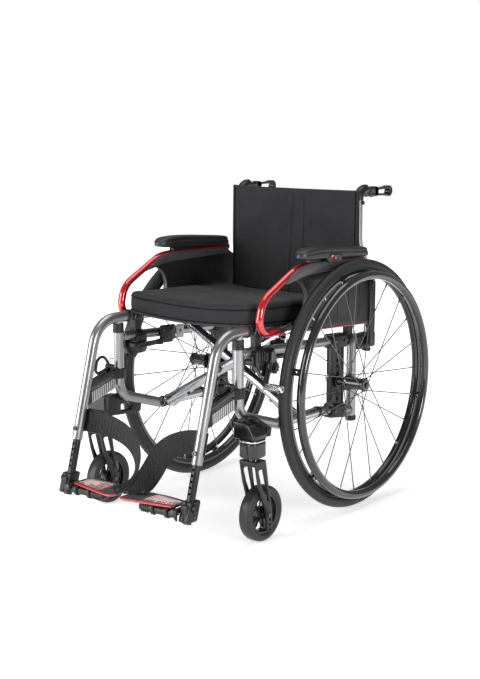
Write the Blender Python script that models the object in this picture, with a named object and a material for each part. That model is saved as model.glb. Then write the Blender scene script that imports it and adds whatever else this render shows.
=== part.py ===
"""Folding active wheelchair with 24 inch spoked rear wheels, at its real size.

Metres, +Z up. The chair faces -Y and its occupant's left is +X. Every shape is drawn with Y measured from the
rear axle, and Z from the floor; AXLE_Y then moves the whole chair so that its origin lies on the floor under
the middle of its outline. Each piece of the left side is drawn once and mirrored to make the right one.
"""

import math

import bmesh
import bpy
from mathutils import Matrix, Vector

# Place of the rear axle behind the origin.
AXLE_Y = 0.139

# Play between pieces: at rest against each other, turning on each other, and sliding past each other.
SEAT_GAP = 0.0003
TURN_GAP = 0.0004
SLIDE_GAP = 0.0006

# Side frames.
FRAME_X = 0.180
TUBE_R = 0.011
POST_R = 0.012
TUBE_SIDES = 8
UPRIGHT_Y = -0.367
UPRIGHT_TOP = 0.430
UPRIGHT_BEND_Z = 0.274
UPRIGHT_BEND_R = 0.042
REAR_UPRIGHT_Y = 0.067
REAR_UPRIGHT_LOW = 0.193
REAR_CAP_H = 0.007
UPPER_RAIL_Z = 0.392
UPPER_RAIL_FALL = 0.054
RAIL_END_Y = 0.094
LOWER_REAR_Z = 0.212
LATCH_COLLAR_Z = 0.3255
LATCH_COLLAR_H = 0.024
LATCH_COLLAR_R = 0.0145
HINGE_BORE_R = 0.0075
HINGE_BORE_DEPTH = 0.045

# Folding cross. Each arm turns on a spigot in one lower rail and carries the opposite seat tube.
PIVOT_Z = 0.231
SPIGOT_R = 0.0075
SPIGOT_FRONT = -0.221
SPIGOT_REAR = -0.070
ARM_R = 0.011
ARM_FRONT_Y = -0.207
ARM_SPACING = 0.060
ARM_TOP_BELOW_SEAT = 0.0135
SEAT_RISE = 0.047
SEAT_TUBE_R = 0.010
SEAT_TUBE_FRONT = -0.318
SEAT_TUBE_REAR = 0.0615
BOLT_R = 0.005
BOLT_HEAD_R = 0.009
BOLT_HEAD_T = 0.006
SPACER_R = 0.009
GUSSET_T = 0.004
RECEIVER_FRONT_Y = -0.306
RECEIVER_REAR_Y = 0.050
RECEIVER_L = 0.016
RECEIVER_WALL = 0.0045

# Seat cloth, cushion and back cloth.
SEAT_CLOTH_HALF = FRAME_X + 0.009
SEAT_CLOTH_FRONT = -0.332
SEAT_CLOTH_T = 0.003
SEAT_SAG = 0.010
CUSHION_T = 0.044
CUSHION_CROWN = 0.004
CUSHION_EDGE_R = 0.010
BACK_HALF = FRAME_X + 0.0112
BACK_FACE_TOP_Y = 0.070
BACK_FACE_LOW_Y = 0.062
SEAT_CLOTH_REAR = BACK_FACE_LOW_Y - 0.0025
BACK_LOW = 0.478
BACK_TOP = 0.742

# Back canes and push handles.
CANE_R = 0.010
CANE_LOW = 0.352
CANE_LOW_Y = 0.131
CANE_REST_Y = 0.149
CANE_REST_Z = 0.522
CANE_TOP_Y = 0.088
CANE_TOP_Z = 0.612
CANE_HEAD_Z = 0.744
CANE_HEAD_R = 0.024
HANDLE_PIVOT_Y = 0.130
HANDLE_PIVOT_Z = CANE_HEAD_Z - 0.007
HANDLE_W = 0.018
HANDLE_HUB_R = 0.0125
HANDLE_END_Y = 0.2245
HANDLE_END_R = 0.0135
HANDLE_BAR = 0.0075
HANDLE_SLOT_FRONT = 0.034
HANDLE_LUG_W = 0.009
HANDLE_PIN_R = 0.0035

# Rear wheels.
WHEEL_X = FRAME_X + 0.060
WHEEL_R = 0.295
TYRE_W = 0.025
TYRE_DEPTH = 0.0245
RIM_R = WHEEL_R - TYRE_DEPTH
RIM_DEPTH = 0.0135
RIM_W = 0.020
FLANGE_R = 0.020
OUTER_FLANGE_R = 0.016
FLANGE_T = 0.005
FLANGE_OUT = 0.0245
FLANGE_IN = 0.023
HUB_R = 0.014
HUB_OUT = 0.0295
HUB_IN = 0.0275
SPOKES = 24
SPOKE_R = 0.0009
WHEEL_STEPS = 32
AXLE_R = 0.006
AXLE_REACH = 0.060
BUTTON_R = 0.006
BUTTON_DEPTH = 0.008
BUTTON_PROUD = 0.0035
HANDRIM_OUT = 0.0303
HANDRIM_R = RIM_R - 0.0108
HANDRIM_TUBE_R = 0.010
HANDRIM_TABS = 6
TAB_W = 0.016
TAB_T = 0.004

# Axle plates between the two rails of a side frame.
PLATE_T = 0.014
PLATE_HALF_W = 0.026
PLATE_CLAMP_H = 0.036
PLATE_CLAMP_W = 0.029
PLATE_CLAMP_HALF_L = 0.029
PLATE_HOLES = 6
PLATE_HOLE_R = 0.0045
PLATE_HOLE_PITCH = 0.0165
SLEEVE_R = 0.0105
SLEEVE_IN = 0.018

# Casters.
CASTER_X = FRAME_X + 0.053
CASTER_Y = -0.355
CASTER_TRAIL = 0.025
CASTER_R = 0.0625
CASTER_TYRE_W = 0.030
CASTER_TYRE_DEPTH = 0.0175
CASTER_RIM_T = 0.006
CASTER_RIM_W = 0.024
CASTER_HUB_R = 0.011
CASTER_HUB_W = 0.031
CASTER_ARMS = 5
CASTER_ARM_W = 0.009
CASTER_AXLE_R = 0.004
FORK_GAP = 0.0025
FORK_LEG_T = 0.006
FORK_TOP = 0.188
FORK_CROWN_T = 0.011
FORK_END_R = 0.010
STEM_R = 0.006
STEM_LEN = 0.034
STEM_SPACER_R = 0.012
STEM_SPACER_H = 0.0055
HOUSING_W = 0.041
HOUSING_L = 0.046
HOUSING_H = 0.040

# Swing-away hangers and footrests.
HANGER_R = 0.011
HANGER_TOP_Z = 0.457
HANGER_REAR_Y = -0.340
HANGER_CORNER_Y = -0.435
HANGER_BEND_R = 0.070
HANGER_LEAN = 0.272
HANGER_LOW_Z = 0.193
HANGER_LATCH_LOW = 0.285
FOOT_TUBE_R = 0.0095
FOOT_TUBE_INSERT = 0.060
FOOT_TUBE_LOW = 0.072
FOOT_HOLES = 7
FOOT_HOLE_R = 0.0028
FOOT_HOLE_PITCH = 0.0127
LOOP_ROD_R = 0.0035
LATCH_HUB_R = 0.0060
LATCH_HUB_W = 0.012
LATCH_PIN_R = 0.0025
LATCH_EAR_T = 0.004
PLATE_AXIS_X = FRAME_X - 0.022
PLATE_AXIS_Z = 0.097
PLATE_TOP = 0.107
FOOTPLATE_T = 0.006
FOOTPLATE_INNER = 0.010
PANEL_INNER = 0.060
PANEL_DEPTH = 0.0015
FOOTPLATE_OUTER = PLATE_AXIS_X - 0.008
FOOT_BAR_AHEAD = 0.012
FOOT_BAR_Y = HANGER_CORNER_Y - HANGER_LEAN * (HANGER_TOP_Z - PLATE_AXIS_Z) - FOOT_BAR_AHEAD
FOOTPLATE_FRONT = FOOT_BAR_Y - 0.028
FOOTPLATE_REAR = FOOT_BAR_Y + 0.049
FOOT_BAR_L = 0.024
FOOT_BAR_INNER = PLATE_AXIS_X - 0.106
STRAP_W = 0.068
STRAP_T = 0.003

# Brakes on the upper rails, ahead of the tyres.
BRAKE_Y = -WHEEL_R - 0.005
BRAKE_Z = 0.379
BRAKE_L = 0.072
BRAKE_W = 0.022
SHOE_DROP = 0.044
SHOE_LEAD = 0.013
SHOE_R = 0.0085
SHOE_L = 0.050
SHOE_ARM_T = 0.004
LEVER_L = 0.085
LEVER_T = 0.005

# Flip-back armrests.
ARMREST_X = FRAME_X + 0.027
ARMREST_R = 0.009
ARMREST_LOW_Z = 0.450
ARMREST_TOP_Z = 2 * WHEEL_R - 0.003
ARMREST_H = ARMREST_TOP_Z - ARMREST_LOW_Z
ARMREST_FRONT_Y = -0.336
ARMREST_LOW_END = -0.262
ARMREST_REAR_END = 0.066
ARMREST_PIVOT_Y = 0.110
ARMREST_PIVOT_Z = 0.378
GUARD_T = 0.003
GUARD_LOW_REAR_Z = 0.426
GUARD_REAR_Y = 0.108
GUARD_LIP_W = 0.014
PAD_X = ARMREST_X + 0.006
PAD_W = 0.042
PAD_FRONT = -0.182
PAD_REAR = 0.056
PAD_H = 0.023
PAD_BUTTON_Y = -0.085
PAD_BUTTON_R = 0.004
PAD_LATCH_L = 0.048
BLOCK_FRONT = 0.0785
BLOCK_REAR = 0.152
BLOCK_LOW = 0.359
BLOCK_TOP = 0.396
BLOCK_W = 0.028

GREY_METAL = ((0.36, 0.37, 0.40), 0.32, 0.85)
RED_PAINT = ((0.72, 0.02, 0.03), 0.25, 0.35)
BLACK_METAL = ((0.030, 0.030, 0.033), 0.35, 0.6)
BLACK_PLASTIC = ((0.022, 0.022, 0.024), 0.42, 0.0)
RUBBER = ((0.028, 0.028, 0.030), 0.65, 0.0)
CLOTH = ((0.035, 0.036, 0.040), 0.9, 0.0)
BRIGHT_METAL = ((0.70, 0.70, 0.68), 0.25, 1.0)
CLEAR_RED = ((0.75, 0.60, 0.58), 0.2, 0.0)
RED_PLASTIC = ((0.80, 0.02, 0.02), 0.35, 0.0)


def clear_scene():
    for thing in list(bpy.data.objects):
        bpy.data.objects.remove(thing)


def rail_z(y):
    """Height of the upper rail's centre line, which falls towards the back."""
    return UPPER_RAIL_Z - UPPER_RAIL_FALL * y


def seat_z(y):
    """Height of a seat tube's centre line, parallel to the upper rail."""
    return rail_z(y) + SEAT_RISE


def hanger_y(z):
    """Y of the leaning lower part of a hanger at the height z."""
    return HANGER_CORNER_Y - HANGER_LEAN * (HANGER_TOP_Z - z)


def in_plane(x, points):
    return [(x, y, z) for y, z in points]


def rounded(corners, radii, turn=0.42):
    """Straight runs between the corners, with an arc of the given radius at each inner corner."""
    corners = [Vector(c) for c in corners]
    path = [corners[0]]
    for before, here, after, radius in zip(corners, corners[1:], corners[2:], radii):
        to_before = (before - here).normalized()
        to_after = (after - here).normalized()
        bend = math.pi - to_before.angle(to_after)
        if radius == 0 or bend < 0.01:
            path.append(here)
            continue
        reach = radius * math.tan(bend / 2)
        middle = (to_before + to_after).normalized()
        centre = here + middle * (radius / math.cos(bend / 2))
        start = here + to_before * reach - centre
        axis = start.cross(here + to_after * reach - centre)
        steps = max(2, round(bend / turn))
        path += [centre + Matrix.Rotation(bend * i / steps, 3, axis) @ start for i in range(steps + 1)]
    path.append(corners[-1])
    return path


def ring_of(radius, sides):
    return [
        (radius * math.cos(2 * math.pi * i / sides), radius * math.sin(2 * math.pi * i / sides))
        for i in range(sides)
    ]


def closed_shell(bm):
    """Welds touching points, turns every face outwards and hands back the mesh."""
    bmesh.ops.remove_doubles(bm, verts=bm.verts, dist=1e-6)
    bmesh.ops.recalc_face_normals(bm, faces=bm.faces)
    mesh = bpy.data.meshes.new("shell")
    bm.to_mesh(mesh)
    bm.free()
    return mesh


def sweep(path, outline, loop=False, up=None):
    """Carries a closed outline along a path, turning it as little as it can."""
    bm = bmesh.new()
    path = [Vector(p) for p in path]
    count = len(path)
    side = None
    rings = []
    for i, point in enumerate(path):
        ahead = path[(i + 1) % count] if loop or i + 1 < count else point
        behind = path[i - 1] if loop or i else point
        direction = (ahead - behind).normalized()
        if up is not None:
            side = direction.cross(Vector(up)).normalized()
        elif side is None:
            side = direction.orthogonal().normalized()
        else:
            side = (side - direction * side.dot(direction)).normalized()
        other = side.cross(direction)
        stretch = 1.0
        if (loop or 0 < i < count - 1) and (point - behind).length > 0 and (ahead - point).length > 0:
            half = (point - behind).angle(ahead - point) / 2
            stretch = 1 / math.cos(min(half, 1.0))
        bend = (ahead - point).normalized() - (point - behind).normalized() if stretch > 1.0001 else None
        ring = []
        for a, b in outline:
            offset = side * a + other * b
            if bend is not None and bend.length > 1e-6:
                outward = bend.normalized()
                offset += outward * offset.dot(outward) * (stretch - 1)
            ring.append(bm.verts.new(point + offset))
        rings.append(ring)
    pairs = zip(rings, rings[1:] + rings[:1]) if loop else zip(rings, rings[1:])
    for first, second in pairs:
        for j in range(len(outline)):
            k = (j + 1) % len(outline)
            bm.faces.new((first[j], first[k], second[k], second[j]))
    if not loop:
        bm.faces.new(rings[0])
        bm.faces.new(rings[-1])
    return closed_shell(bm)


def tube(path, radius, sides=TUBE_SIDES, loop=False):
    return sweep(path, ring_of(radius, sides), loop)


def rod(start, end, radius, sides=TUBE_SIDES):
    return tube([start, end], radius, sides)


def hole(start, end, radius, sides=12):
    """A round cutter whose flats, rather than its corners, lie at the radius."""
    return tube([start, end], radius / math.cos(math.pi / sides), sides)


def turned(profile, centre, steps, around="X"):
    """Turns a profile of (radius, distance along the axis) about an axis, closed at radius 0."""
    bm = bmesh.new()
    rings = []
    for radius, along in profile:
        ring = []
        for i in range(steps if radius > 0 else 1):
            angle = 2 * math.pi * i / steps
            across = (radius * math.cos(angle), radius * math.sin(angle))
            point = {
                "X": (along, *across),
                "Y": (across[1], along, across[0]),
                "Z": (*across, along),
            }[around]
            ring.append(bm.verts.new(Vector(centre) + Vector(point)))
        rings.append(ring)
    whole = profile[0][0] > 0
    for first, second in zip(rings, rings[1:] + rings[:1] if whole else rings[1:]):
        for i in range(steps):
            k = (i + 1) % steps
            corners = [
                first[i % len(first)],
                first[k % len(first)],
                second[k % len(second)],
                second[i % len(second)],
            ]
            bm.faces.new(list(dict.fromkeys(corners)))
    return closed_shell(bm)


def prism(outline, low, high, along="X"):
    """Pulls a closed outline from low to high. It is (y, z) along X, (x, z) along Y and (x, y) along Z."""
    bm = bmesh.new()
    ends = []
    for level in (low, high):
        if along == "X":
            points = [(level, a, b) for a, b in outline]
        elif along == "Y":
            points = [(a, level, b) for a, b in outline]
        else:
            points = [(a, b, level) for a, b in outline]
        ends.append([bm.verts.new(point) for point in points])
    bm.faces.new(ends[0])
    bm.faces.new(ends[1])
    for i in range(len(outline)):
        k = (i + 1) % len(outline)
        bm.faces.new((ends[0][i], ends[0][k], ends[1][k], ends[1][i]))
    return closed_shell(bm)


def soft_edges(mesh, width, steps=1, least=0.6):
    """Bevels every edge whose faces turn by more than the angle least."""
    bm = bmesh.new()
    bm.from_mesh(mesh)
    edges = [e for e in bm.edges if e.is_manifold and e.calc_face_angle() > least]
    bmesh.ops.bevel(bm, geom=edges, offset=width, segments=steps, affect="EDGES", clamp_overlap=True)
    return closed_shell(bm)


def block(low, high, edge=0.0):
    """A box between two corners, with its edges bevelled."""
    outline = [(low[1], low[2]), (high[1], low[2]), (high[1], high[2]), (low[1], high[2])]
    mesh = prism(outline, low[0], high[0])
    return soft_edges(mesh, edge) if edge else mesh


def loft(sections):
    """Joins closed rings of equal count, one after the other, and closes both ends."""
    bm = bmesh.new()
    rings = [[bm.verts.new(p) for p in section] for section in sections]
    for first, second in zip(rings, rings[1:]):
        for j in range(len(first)):
            k = (j + 1) % len(first)
            bm.faces.new((first[j], first[k], second[k], second[j]))
    bm.faces.new(rings[0])
    bm.faces.new(rings[-1])
    return closed_shell(bm)


def combine(first, others, operation):
    """One mesh from a Boolean of the first with each of the others."""
    base = bpy.data.objects.new("base", first)
    bpy.context.collection.objects.link(base)
    helpers = []
    for mesh in others:
        helper = bpy.data.objects.new("helper", mesh)
        bpy.context.collection.objects.link(helper)
        modifier = base.modifiers.new("boolean", "BOOLEAN")
        modifier.operation = operation
        modifier.object = helper
        helpers.append(helper)
    graph = bpy.context.evaluated_depsgraph_get()
    result = bpy.data.meshes.new_from_object(base.evaluated_get(graph))
    for thing in helpers + [base]:
        bpy.data.objects.remove(thing)
    return result


def joined(first, *others):
    return combine(first, others, "UNION")


def cut(first, *others):
    return combine(first, others, "DIFFERENCE")


def finish(name, look):
    colour, roughness, metallic = look
    material = bpy.data.materials.new(name)
    material.use_nodes = True
    shader = material.node_tree.nodes["Principled BSDF"]
    shader.inputs["Base Color"].default_value = (*colour, 1)
    shader.inputs["Roughness"].default_value = roughness
    shader.inputs["Metallic"].default_value = metallic
    return material


def add(name, mesh, look, pivot=(0, 0, 0)):
    """Names a finished piece and puts its origin on its joint's axis."""
    pivot = Vector(pivot)
    mesh.transform(Matrix.Translation(-pivot))
    mesh.name = name
    mesh.materials.clear()
    mesh.materials.append(finish(name, look))
    mesh.shade_smooth()
    mesh.set_sharp_from_angle(angle=0.6)
    piece = bpy.data.objects.new(name, mesh)
    piece.location = pivot + Vector((0, AXLE_Y, 0))
    bpy.context.collection.objects.link(piece)


def mirrored(mesh):
    other = mesh.copy()
    other.transform(Matrix.Scale(-1, 4, (1, 0, 0)))
    other.flip_normals()
    return other


def add_pair(name, mesh, look, pivot=(0, 0, 0)):
    """The left piece as drawn, and the right piece as its mirror image."""
    other = mirrored(mesh)
    add("left_" + name, mesh, look, pivot)
    add("right_" + name, other, look, (-pivot[0], pivot[1], pivot[2]))


def receiver(y):
    """An open cradle on the upper rail, in which the seat tube rests when the chair is open."""
    low = rail_z(y) + TUBE_R / 2
    rest = seat_z(y)
    reach = SEAT_TUBE_R + RECEIVER_WALL
    outline = [
        (FRAME_X - reach, rest - SEAT_TUBE_R / 2),
        (FRAME_X - TUBE_R / 2, low),
        (FRAME_X + TUBE_R / 2, low),
        (FRAME_X + reach, rest - SEAT_TUBE_R / 2),
        (FRAME_X + reach, rest + SEAT_TUBE_R / 2),
        (FRAME_X, rest + SEAT_TUBE_R / 2),
        (FRAME_X - reach, rest - SEAT_TUBE_R / 2 + RECEIVER_WALL),
    ]
    body = prism(outline, y - RECEIVER_L / 2, y + RECEIVER_L / 2, "Y")
    ends = [(FRAME_X, end, seat_z(end)) for end in (y - RECEIVER_L, y + RECEIVER_L)]
    raised = [(x, end, z + 2 * SEAT_TUBE_R) for x, end, z in ends]
    trough = hole(*ends, SEAT_TUBE_R + SEAT_GAP, 10)
    mouth_low = seat_z(y)
    mouth = block(
        (FRAME_X - 2 * reach, y - RECEIVER_L, mouth_low),
        (FRAME_X + SEAT_TUBE_R + SEAT_GAP, y + RECEIVER_L, raised[0][2]),
    )
    return cut(body, trough, mouth)


def side_frame():
    """Upright, lower rail with its pivot spigot, rear upright and upper rail, welded into one frame."""
    x = FRAME_X
    front = rounded(
        in_plane(
            x,
            [
                (UPRIGHT_Y, UPRIGHT_TOP),
                (UPRIGHT_Y, UPRIGHT_BEND_Z),
                (SPIGOT_FRONT - 0.007, PIVOT_Z),
                (SPIGOT_FRONT, PIVOT_Z),
            ],
        ),
        (UPRIGHT_BEND_R, 0.020),
    )
    rear = rounded(
        in_plane(
            x,
            [(SPIGOT_REAR, PIVOT_Z), (SPIGOT_REAR + 0.012, PIVOT_Z), (REAR_UPRIGHT_Y, LOWER_REAR_Z)],
        ),
        (0.040,),
    )
    spigot = rod((x, SPIGOT_FRONT - TUBE_R, PIVOT_Z), (x, SPIGOT_REAR + TUBE_R, PIVOT_Z), SPIGOT_R)
    post = rod(
        (x, REAR_UPRIGHT_Y, REAR_UPRIGHT_LOW),
        (x, REAR_UPRIGHT_Y, rail_z(REAR_UPRIGHT_Y) + 0.003),
        POST_R,
    )
    foot = rod(
        (x, REAR_UPRIGHT_Y, REAR_UPRIGHT_LOW - REAR_CAP_H),
        (x, REAR_UPRIGHT_Y, REAR_UPRIGHT_LOW + REAR_CAP_H),
        POST_R + 0.0012,
    )
    upper = rod((x, UPRIGHT_Y, rail_z(UPRIGHT_Y)), (x, RAIL_END_Y, rail_z(RAIL_END_Y)), TUBE_R)
    collar = rod(
        (x, UPRIGHT_Y, LATCH_COLLAR_Z - LATCH_COLLAR_H / 2),
        (x, UPRIGHT_Y, LATCH_COLLAR_Z + LATCH_COLLAR_H / 2),
        LATCH_COLLAR_R,
    )
    frame = joined(
        tube(front, POST_R), spigot, tube(rear, TUBE_R), post, foot, upper, collar,
        receiver(RECEIVER_FRONT_Y), receiver(RECEIVER_REAR_Y),
    )
    bore = hole(
        (x, UPRIGHT_Y, UPRIGHT_TOP - HINGE_BORE_DEPTH),
        (x, UPRIGHT_Y, UPRIGHT_TOP + TUBE_R),
        HINGE_BORE_R,
    )
    add_pair("side_frame", cut(frame, bore), GREY_METAL)


def arm_shape(y):
    """One arm of the cross, drawn for the arm that turns on the right rail and carries the left seat tube."""
    x = FRAME_X
    top = seat_z(ARM_FRONT_Y + ARM_SPACING / 2) - ARM_TOP_BELOW_SEAT
    slope = (top - PIVOT_Z) / (2 * x)
    sleeve = rod(
        (-x, SPIGOT_FRONT + SLIDE_GAP, PIVOT_Z),
        (-x, SPIGOT_REAR - SLIDE_GAP, PIVOT_Z),
        TUBE_R,
        12,
    )
    beam = rod((-x, y, PIVOT_Z), (x, y, top), ARM_R)
    seat_tube = rod(
        (x, SEAT_TUBE_FRONT, seat_z(SEAT_TUBE_FRONT)),
        (x, SEAT_TUBE_REAR, seat_z(SEAT_TUBE_REAR)),
        SEAT_TUBE_R,
        12,
    )
    web = 0.055
    gusset = prism(
        [
            (-x, PIVOT_Z - TUBE_R + 0.002),
            (-x + web, PIVOT_Z + slope * web),
            (-x, PIVOT_Z),
        ],
        y - GUSSET_T / 2,
        y + GUSSET_T / 2,
        "Y",
    )
    arm = joined(sleeve, beam, seat_tube, gusset)
    bore = hole(
        (-x, SPIGOT_FRONT - TUBE_R, PIVOT_Z),
        (-x, SPIGOT_REAR + TUBE_R, PIVOT_Z),
        SPIGOT_R + TURN_GAP,
    )
    return cut(arm, bore)


def bolt_z():
    top = seat_z(ARM_FRONT_Y + ARM_SPACING / 2) - ARM_TOP_BELOW_SEAT
    return (PIVOT_Z + top) / 2


def folding_cross():
    """Two arms on one bolt. The bolt and its spacer are fixed in the rear arm and turn in the front one."""
    rear_y = ARM_FRONT_Y + ARM_SPACING
    z = bolt_z()
    bore = hole((0, ARM_FRONT_Y - 2 * ARM_R, z), (0, ARM_FRONT_Y + 2 * ARM_R, z), BOLT_R + TURN_GAP)
    front_arm = cut(arm_shape(ARM_FRONT_Y), bore)
    add("cross_arm_front", front_arm, GREY_METAL, (0, ARM_FRONT_Y, z))
    bore = hole((0, rear_y - 2 * ARM_R, z), (0, rear_y + 2 * ARM_R, z), BOLT_R + SEAT_GAP)
    rear_arm = cut(mirrored(arm_shape(rear_y)), bore)
    add("cross_arm_rear", rear_arm, GREY_METAL, (FRAME_X, rear_y, PIVOT_Z))
    profile = [
        (0, ARM_FRONT_Y - ARM_R - SEAT_GAP - BOLT_HEAD_T),
        (BOLT_HEAD_R, ARM_FRONT_Y - ARM_R - SEAT_GAP - BOLT_HEAD_T),
        (BOLT_HEAD_R, ARM_FRONT_Y - ARM_R - SEAT_GAP),
        (BOLT_R, ARM_FRONT_Y - ARM_R - SEAT_GAP),
        (BOLT_R, ARM_FRONT_Y + ARM_R + SEAT_GAP),
        (SPACER_R, ARM_FRONT_Y + ARM_R + SEAT_GAP),
        (SPACER_R, rear_y - ARM_R - SEAT_GAP),
        (BOLT_R, rear_y - ARM_R - SEAT_GAP),
        (BOLT_R, rear_y + ARM_R + SEAT_GAP),
        (BOLT_HEAD_R, rear_y + ARM_R + SEAT_GAP),
        (BOLT_HEAD_R, rear_y + ARM_R + SEAT_GAP + BOLT_HEAD_T),
        (0, rear_y + ARM_R + SEAT_GAP + BOLT_HEAD_T),
    ]
    add("cross_bolt", turned(profile, (0, 0, z), 12, "Y"), BLACK_METAL, (0, rear_y, z))


def cloth_z(x, y):
    """Underside of the seat cloth: it lies on the seat tubes and sags between them."""
    share = min(1.0, abs(x) / FRAME_X)
    return seat_z(y) + SEAT_TUBE_R + SEAT_GAP - SEAT_SAG * (1 - share**2)


def seat():
    """The seat cloth, and a cushion that follows its sag."""
    steps = 6
    xs = [-SEAT_CLOTH_HALF] + [FRAME_X * (2 * i / steps - 1) for i in range(steps + 1)] + [SEAT_CLOTH_HALF]
    sections = []
    for y in (SEAT_CLOTH_FRONT, SEAT_CLOTH_REAR):
        low = [(x, y, cloth_z(x, y)) for x in xs]
        high = [(x, y, cloth_z(x, y) + SEAT_CLOTH_T) for x in reversed(xs)]
        sections.append(low + high)
    add("seat_sling", loft(sections), CLOTH)
    lift = SEAT_CLOTH_T + SEAT_GAP
    sections = []
    length = SEAT_CLOTH_REAR - SEAT_CLOTH_FRONT
    for inset, share in (
        (CUSHION_EDGE_R, 0.0),
        (0.0, 0.03),
        (0.0, 0.5),
        (0.0, 0.97),
        (CUSHION_EDGE_R, 1.0),
    ):
        y = SEAT_CLOTH_FRONT + share * length
        low = [(x, y, cloth_z(x, y) + lift + inset * 0.5) for x in xs]
        crown = [CUSHION_CROWN * (1 - (x / SEAT_CLOTH_HALF) ** 2) for x in xs]
        high = [(x, y, cloth_z(x, y) + lift + CUSHION_T - inset + rise) for x, rise in zip(xs, crown)]
        middle = cloth_z(SEAT_CLOTH_HALF, y) + lift + CUSHION_T / 2
        bulge = SEAT_CLOTH_HALF + 0.002
        sections.append(low + [(bulge, y, middle)] + high[::-1] + [(-bulge, y, middle)])
    add("seat_cushion", loft(sections), CLOTH)


def cane_path(head=True):
    """Centre line of a back cane: a leaning foot, a set forward at the lumbar, and a straight top."""
    points = [
        (CANE_LOW_Y, CANE_LOW),
        (CANE_REST_Y, CANE_REST_Z),
        (CANE_TOP_Y, CANE_TOP_Z),
        (CANE_TOP_Y, CANE_HEAD_Z),
    ]
    radii = [0.070, 0.070]
    if head:
        points.append((HANDLE_PIVOT_Y - HANDLE_HUB_R, CANE_HEAD_Z))
        radii.append(CANE_HEAD_R)
    return rounded(in_plane(FRAME_X, points), radii)


def arc(centre, radius, start, end, steps):
    """Points on an arc, with angles in degrees."""
    angles = [math.radians(start + (end - start) * i / steps) for i in range(steps + 1)]
    return [(centre[0] + radius * math.cos(a), centre[1] + radius * math.sin(a)) for a in angles]


def back_cane():
    stub_y = HANDLE_PIVOT_Y - HANDLE_HUB_R - 0.004
    outline = arc((HANDLE_PIVOT_Y, HANDLE_PIVOT_Z), HANDLE_HUB_R * 0.85, -100, 100, 5)
    outline += [(stub_y, CANE_HEAD_Z + CANE_R * 0.6), (stub_y, CANE_HEAD_Z - CANE_R * 0.8)]
    lug = prism(outline, FRAME_X - HANDLE_LUG_W / 2, FRAME_X + HANDLE_LUG_W / 2)
    pin = rod(
        (FRAME_X - HANDLE_W / 2, HANDLE_PIVOT_Y, HANDLE_PIVOT_Z),
        (FRAME_X + HANDLE_W / 2, HANDLE_PIVOT_Y, HANDLE_PIVOT_Z),
        HANDLE_PIN_R,
        8,
    )
    add_pair("back_cane", joined(tube(cane_path(), CANE_R), lug, pin), GREY_METAL)


def push_handle():
    """An open loop grip that folds down about a pin behind the cane."""
    y, z = HANDLE_PIVOT_Y, HANDLE_PIVOT_Z
    end = (HANDLE_END_Y - HANDLE_END_R, z - 0.001)
    outline = arc((y, z), HANDLE_HUB_R, 100, 250, 5)
    outline += [(y + 0.030, z - 0.0105), (y + 0.055, z - 0.0100)]
    outline += arc(end, HANDLE_END_R, -100, 90, 6)
    outline += [(y + 0.055, z + 0.0105), (y + 0.028, z + 0.0100)]
    left = FRAME_X - HANDLE_W / 2
    right = FRAME_X + HANDLE_W / 2
    body = soft_edges(prism(outline, left, right), 0.002)
    slot_front = (y + HANDLE_SLOT_FRONT, z)
    slot_rear = (end[0] - 0.003, z)
    half = 0.0105 - HANDLE_BAR + 0.001
    slot = prism(
        arc(slot_front, half, 90, 270, 4) + arc(slot_rear, half, -90, 90, 4),
        left - 0.01,
        right + 0.01,
    )
    wall = HANDLE_LUG_W / 2 + SEAT_GAP
    notch = block((FRAME_X - wall, y - 0.03, z - 0.03), (FRAME_X + wall, y + HANDLE_HUB_R, z + 0.03))
    bore = hole((left - 0.01, y, z), (right + 0.01, y, z), HANDLE_PIN_R + TURN_GAP, 8)
    add_pair("push_handle", cut(body, slot, notch, bore), BLACK_PLASTIC, (FRAME_X, y, z))


def back_cloth():
    """A padded back with an upright face; its rear side follows the front of the canes."""
    corners = [
        (CANE_LOW_Y, CANE_LOW),
        (CANE_REST_Y, CANE_REST_Z),
        (CANE_TOP_Y, CANE_TOP_Z),
        (CANE_TOP_Y, BACK_TOP),
    ]
    path = [p for p in rounded(in_plane(0, corners), (0.070, 0.070)) if p.z > BACK_LOW + 0.004]
    slope = (CANE_REST_Y - CANE_LOW_Y) / (CANE_REST_Z - CANE_LOW)
    path = [Vector((0, CANE_LOW_Y + slope * (BACK_LOW - CANE_LOW), BACK_LOW))] + path
    distance = CANE_R * 1.02 + SEAT_GAP
    rear = []
    for i, here in enumerate(path):
        along = (path[min(i + 1, len(path) - 1)] - path[max(i - 1, 0)]).normalized()
        rear.append((here.y - along.z * distance, here.z + along.y * distance))
    face = [(BACK_FACE_TOP_Y, BACK_TOP), (BACK_FACE_LOW_Y, BACK_LOW)]
    add("back_upholstery", prism(rear + face, -BACK_HALF, BACK_HALF), CLOTH)


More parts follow.
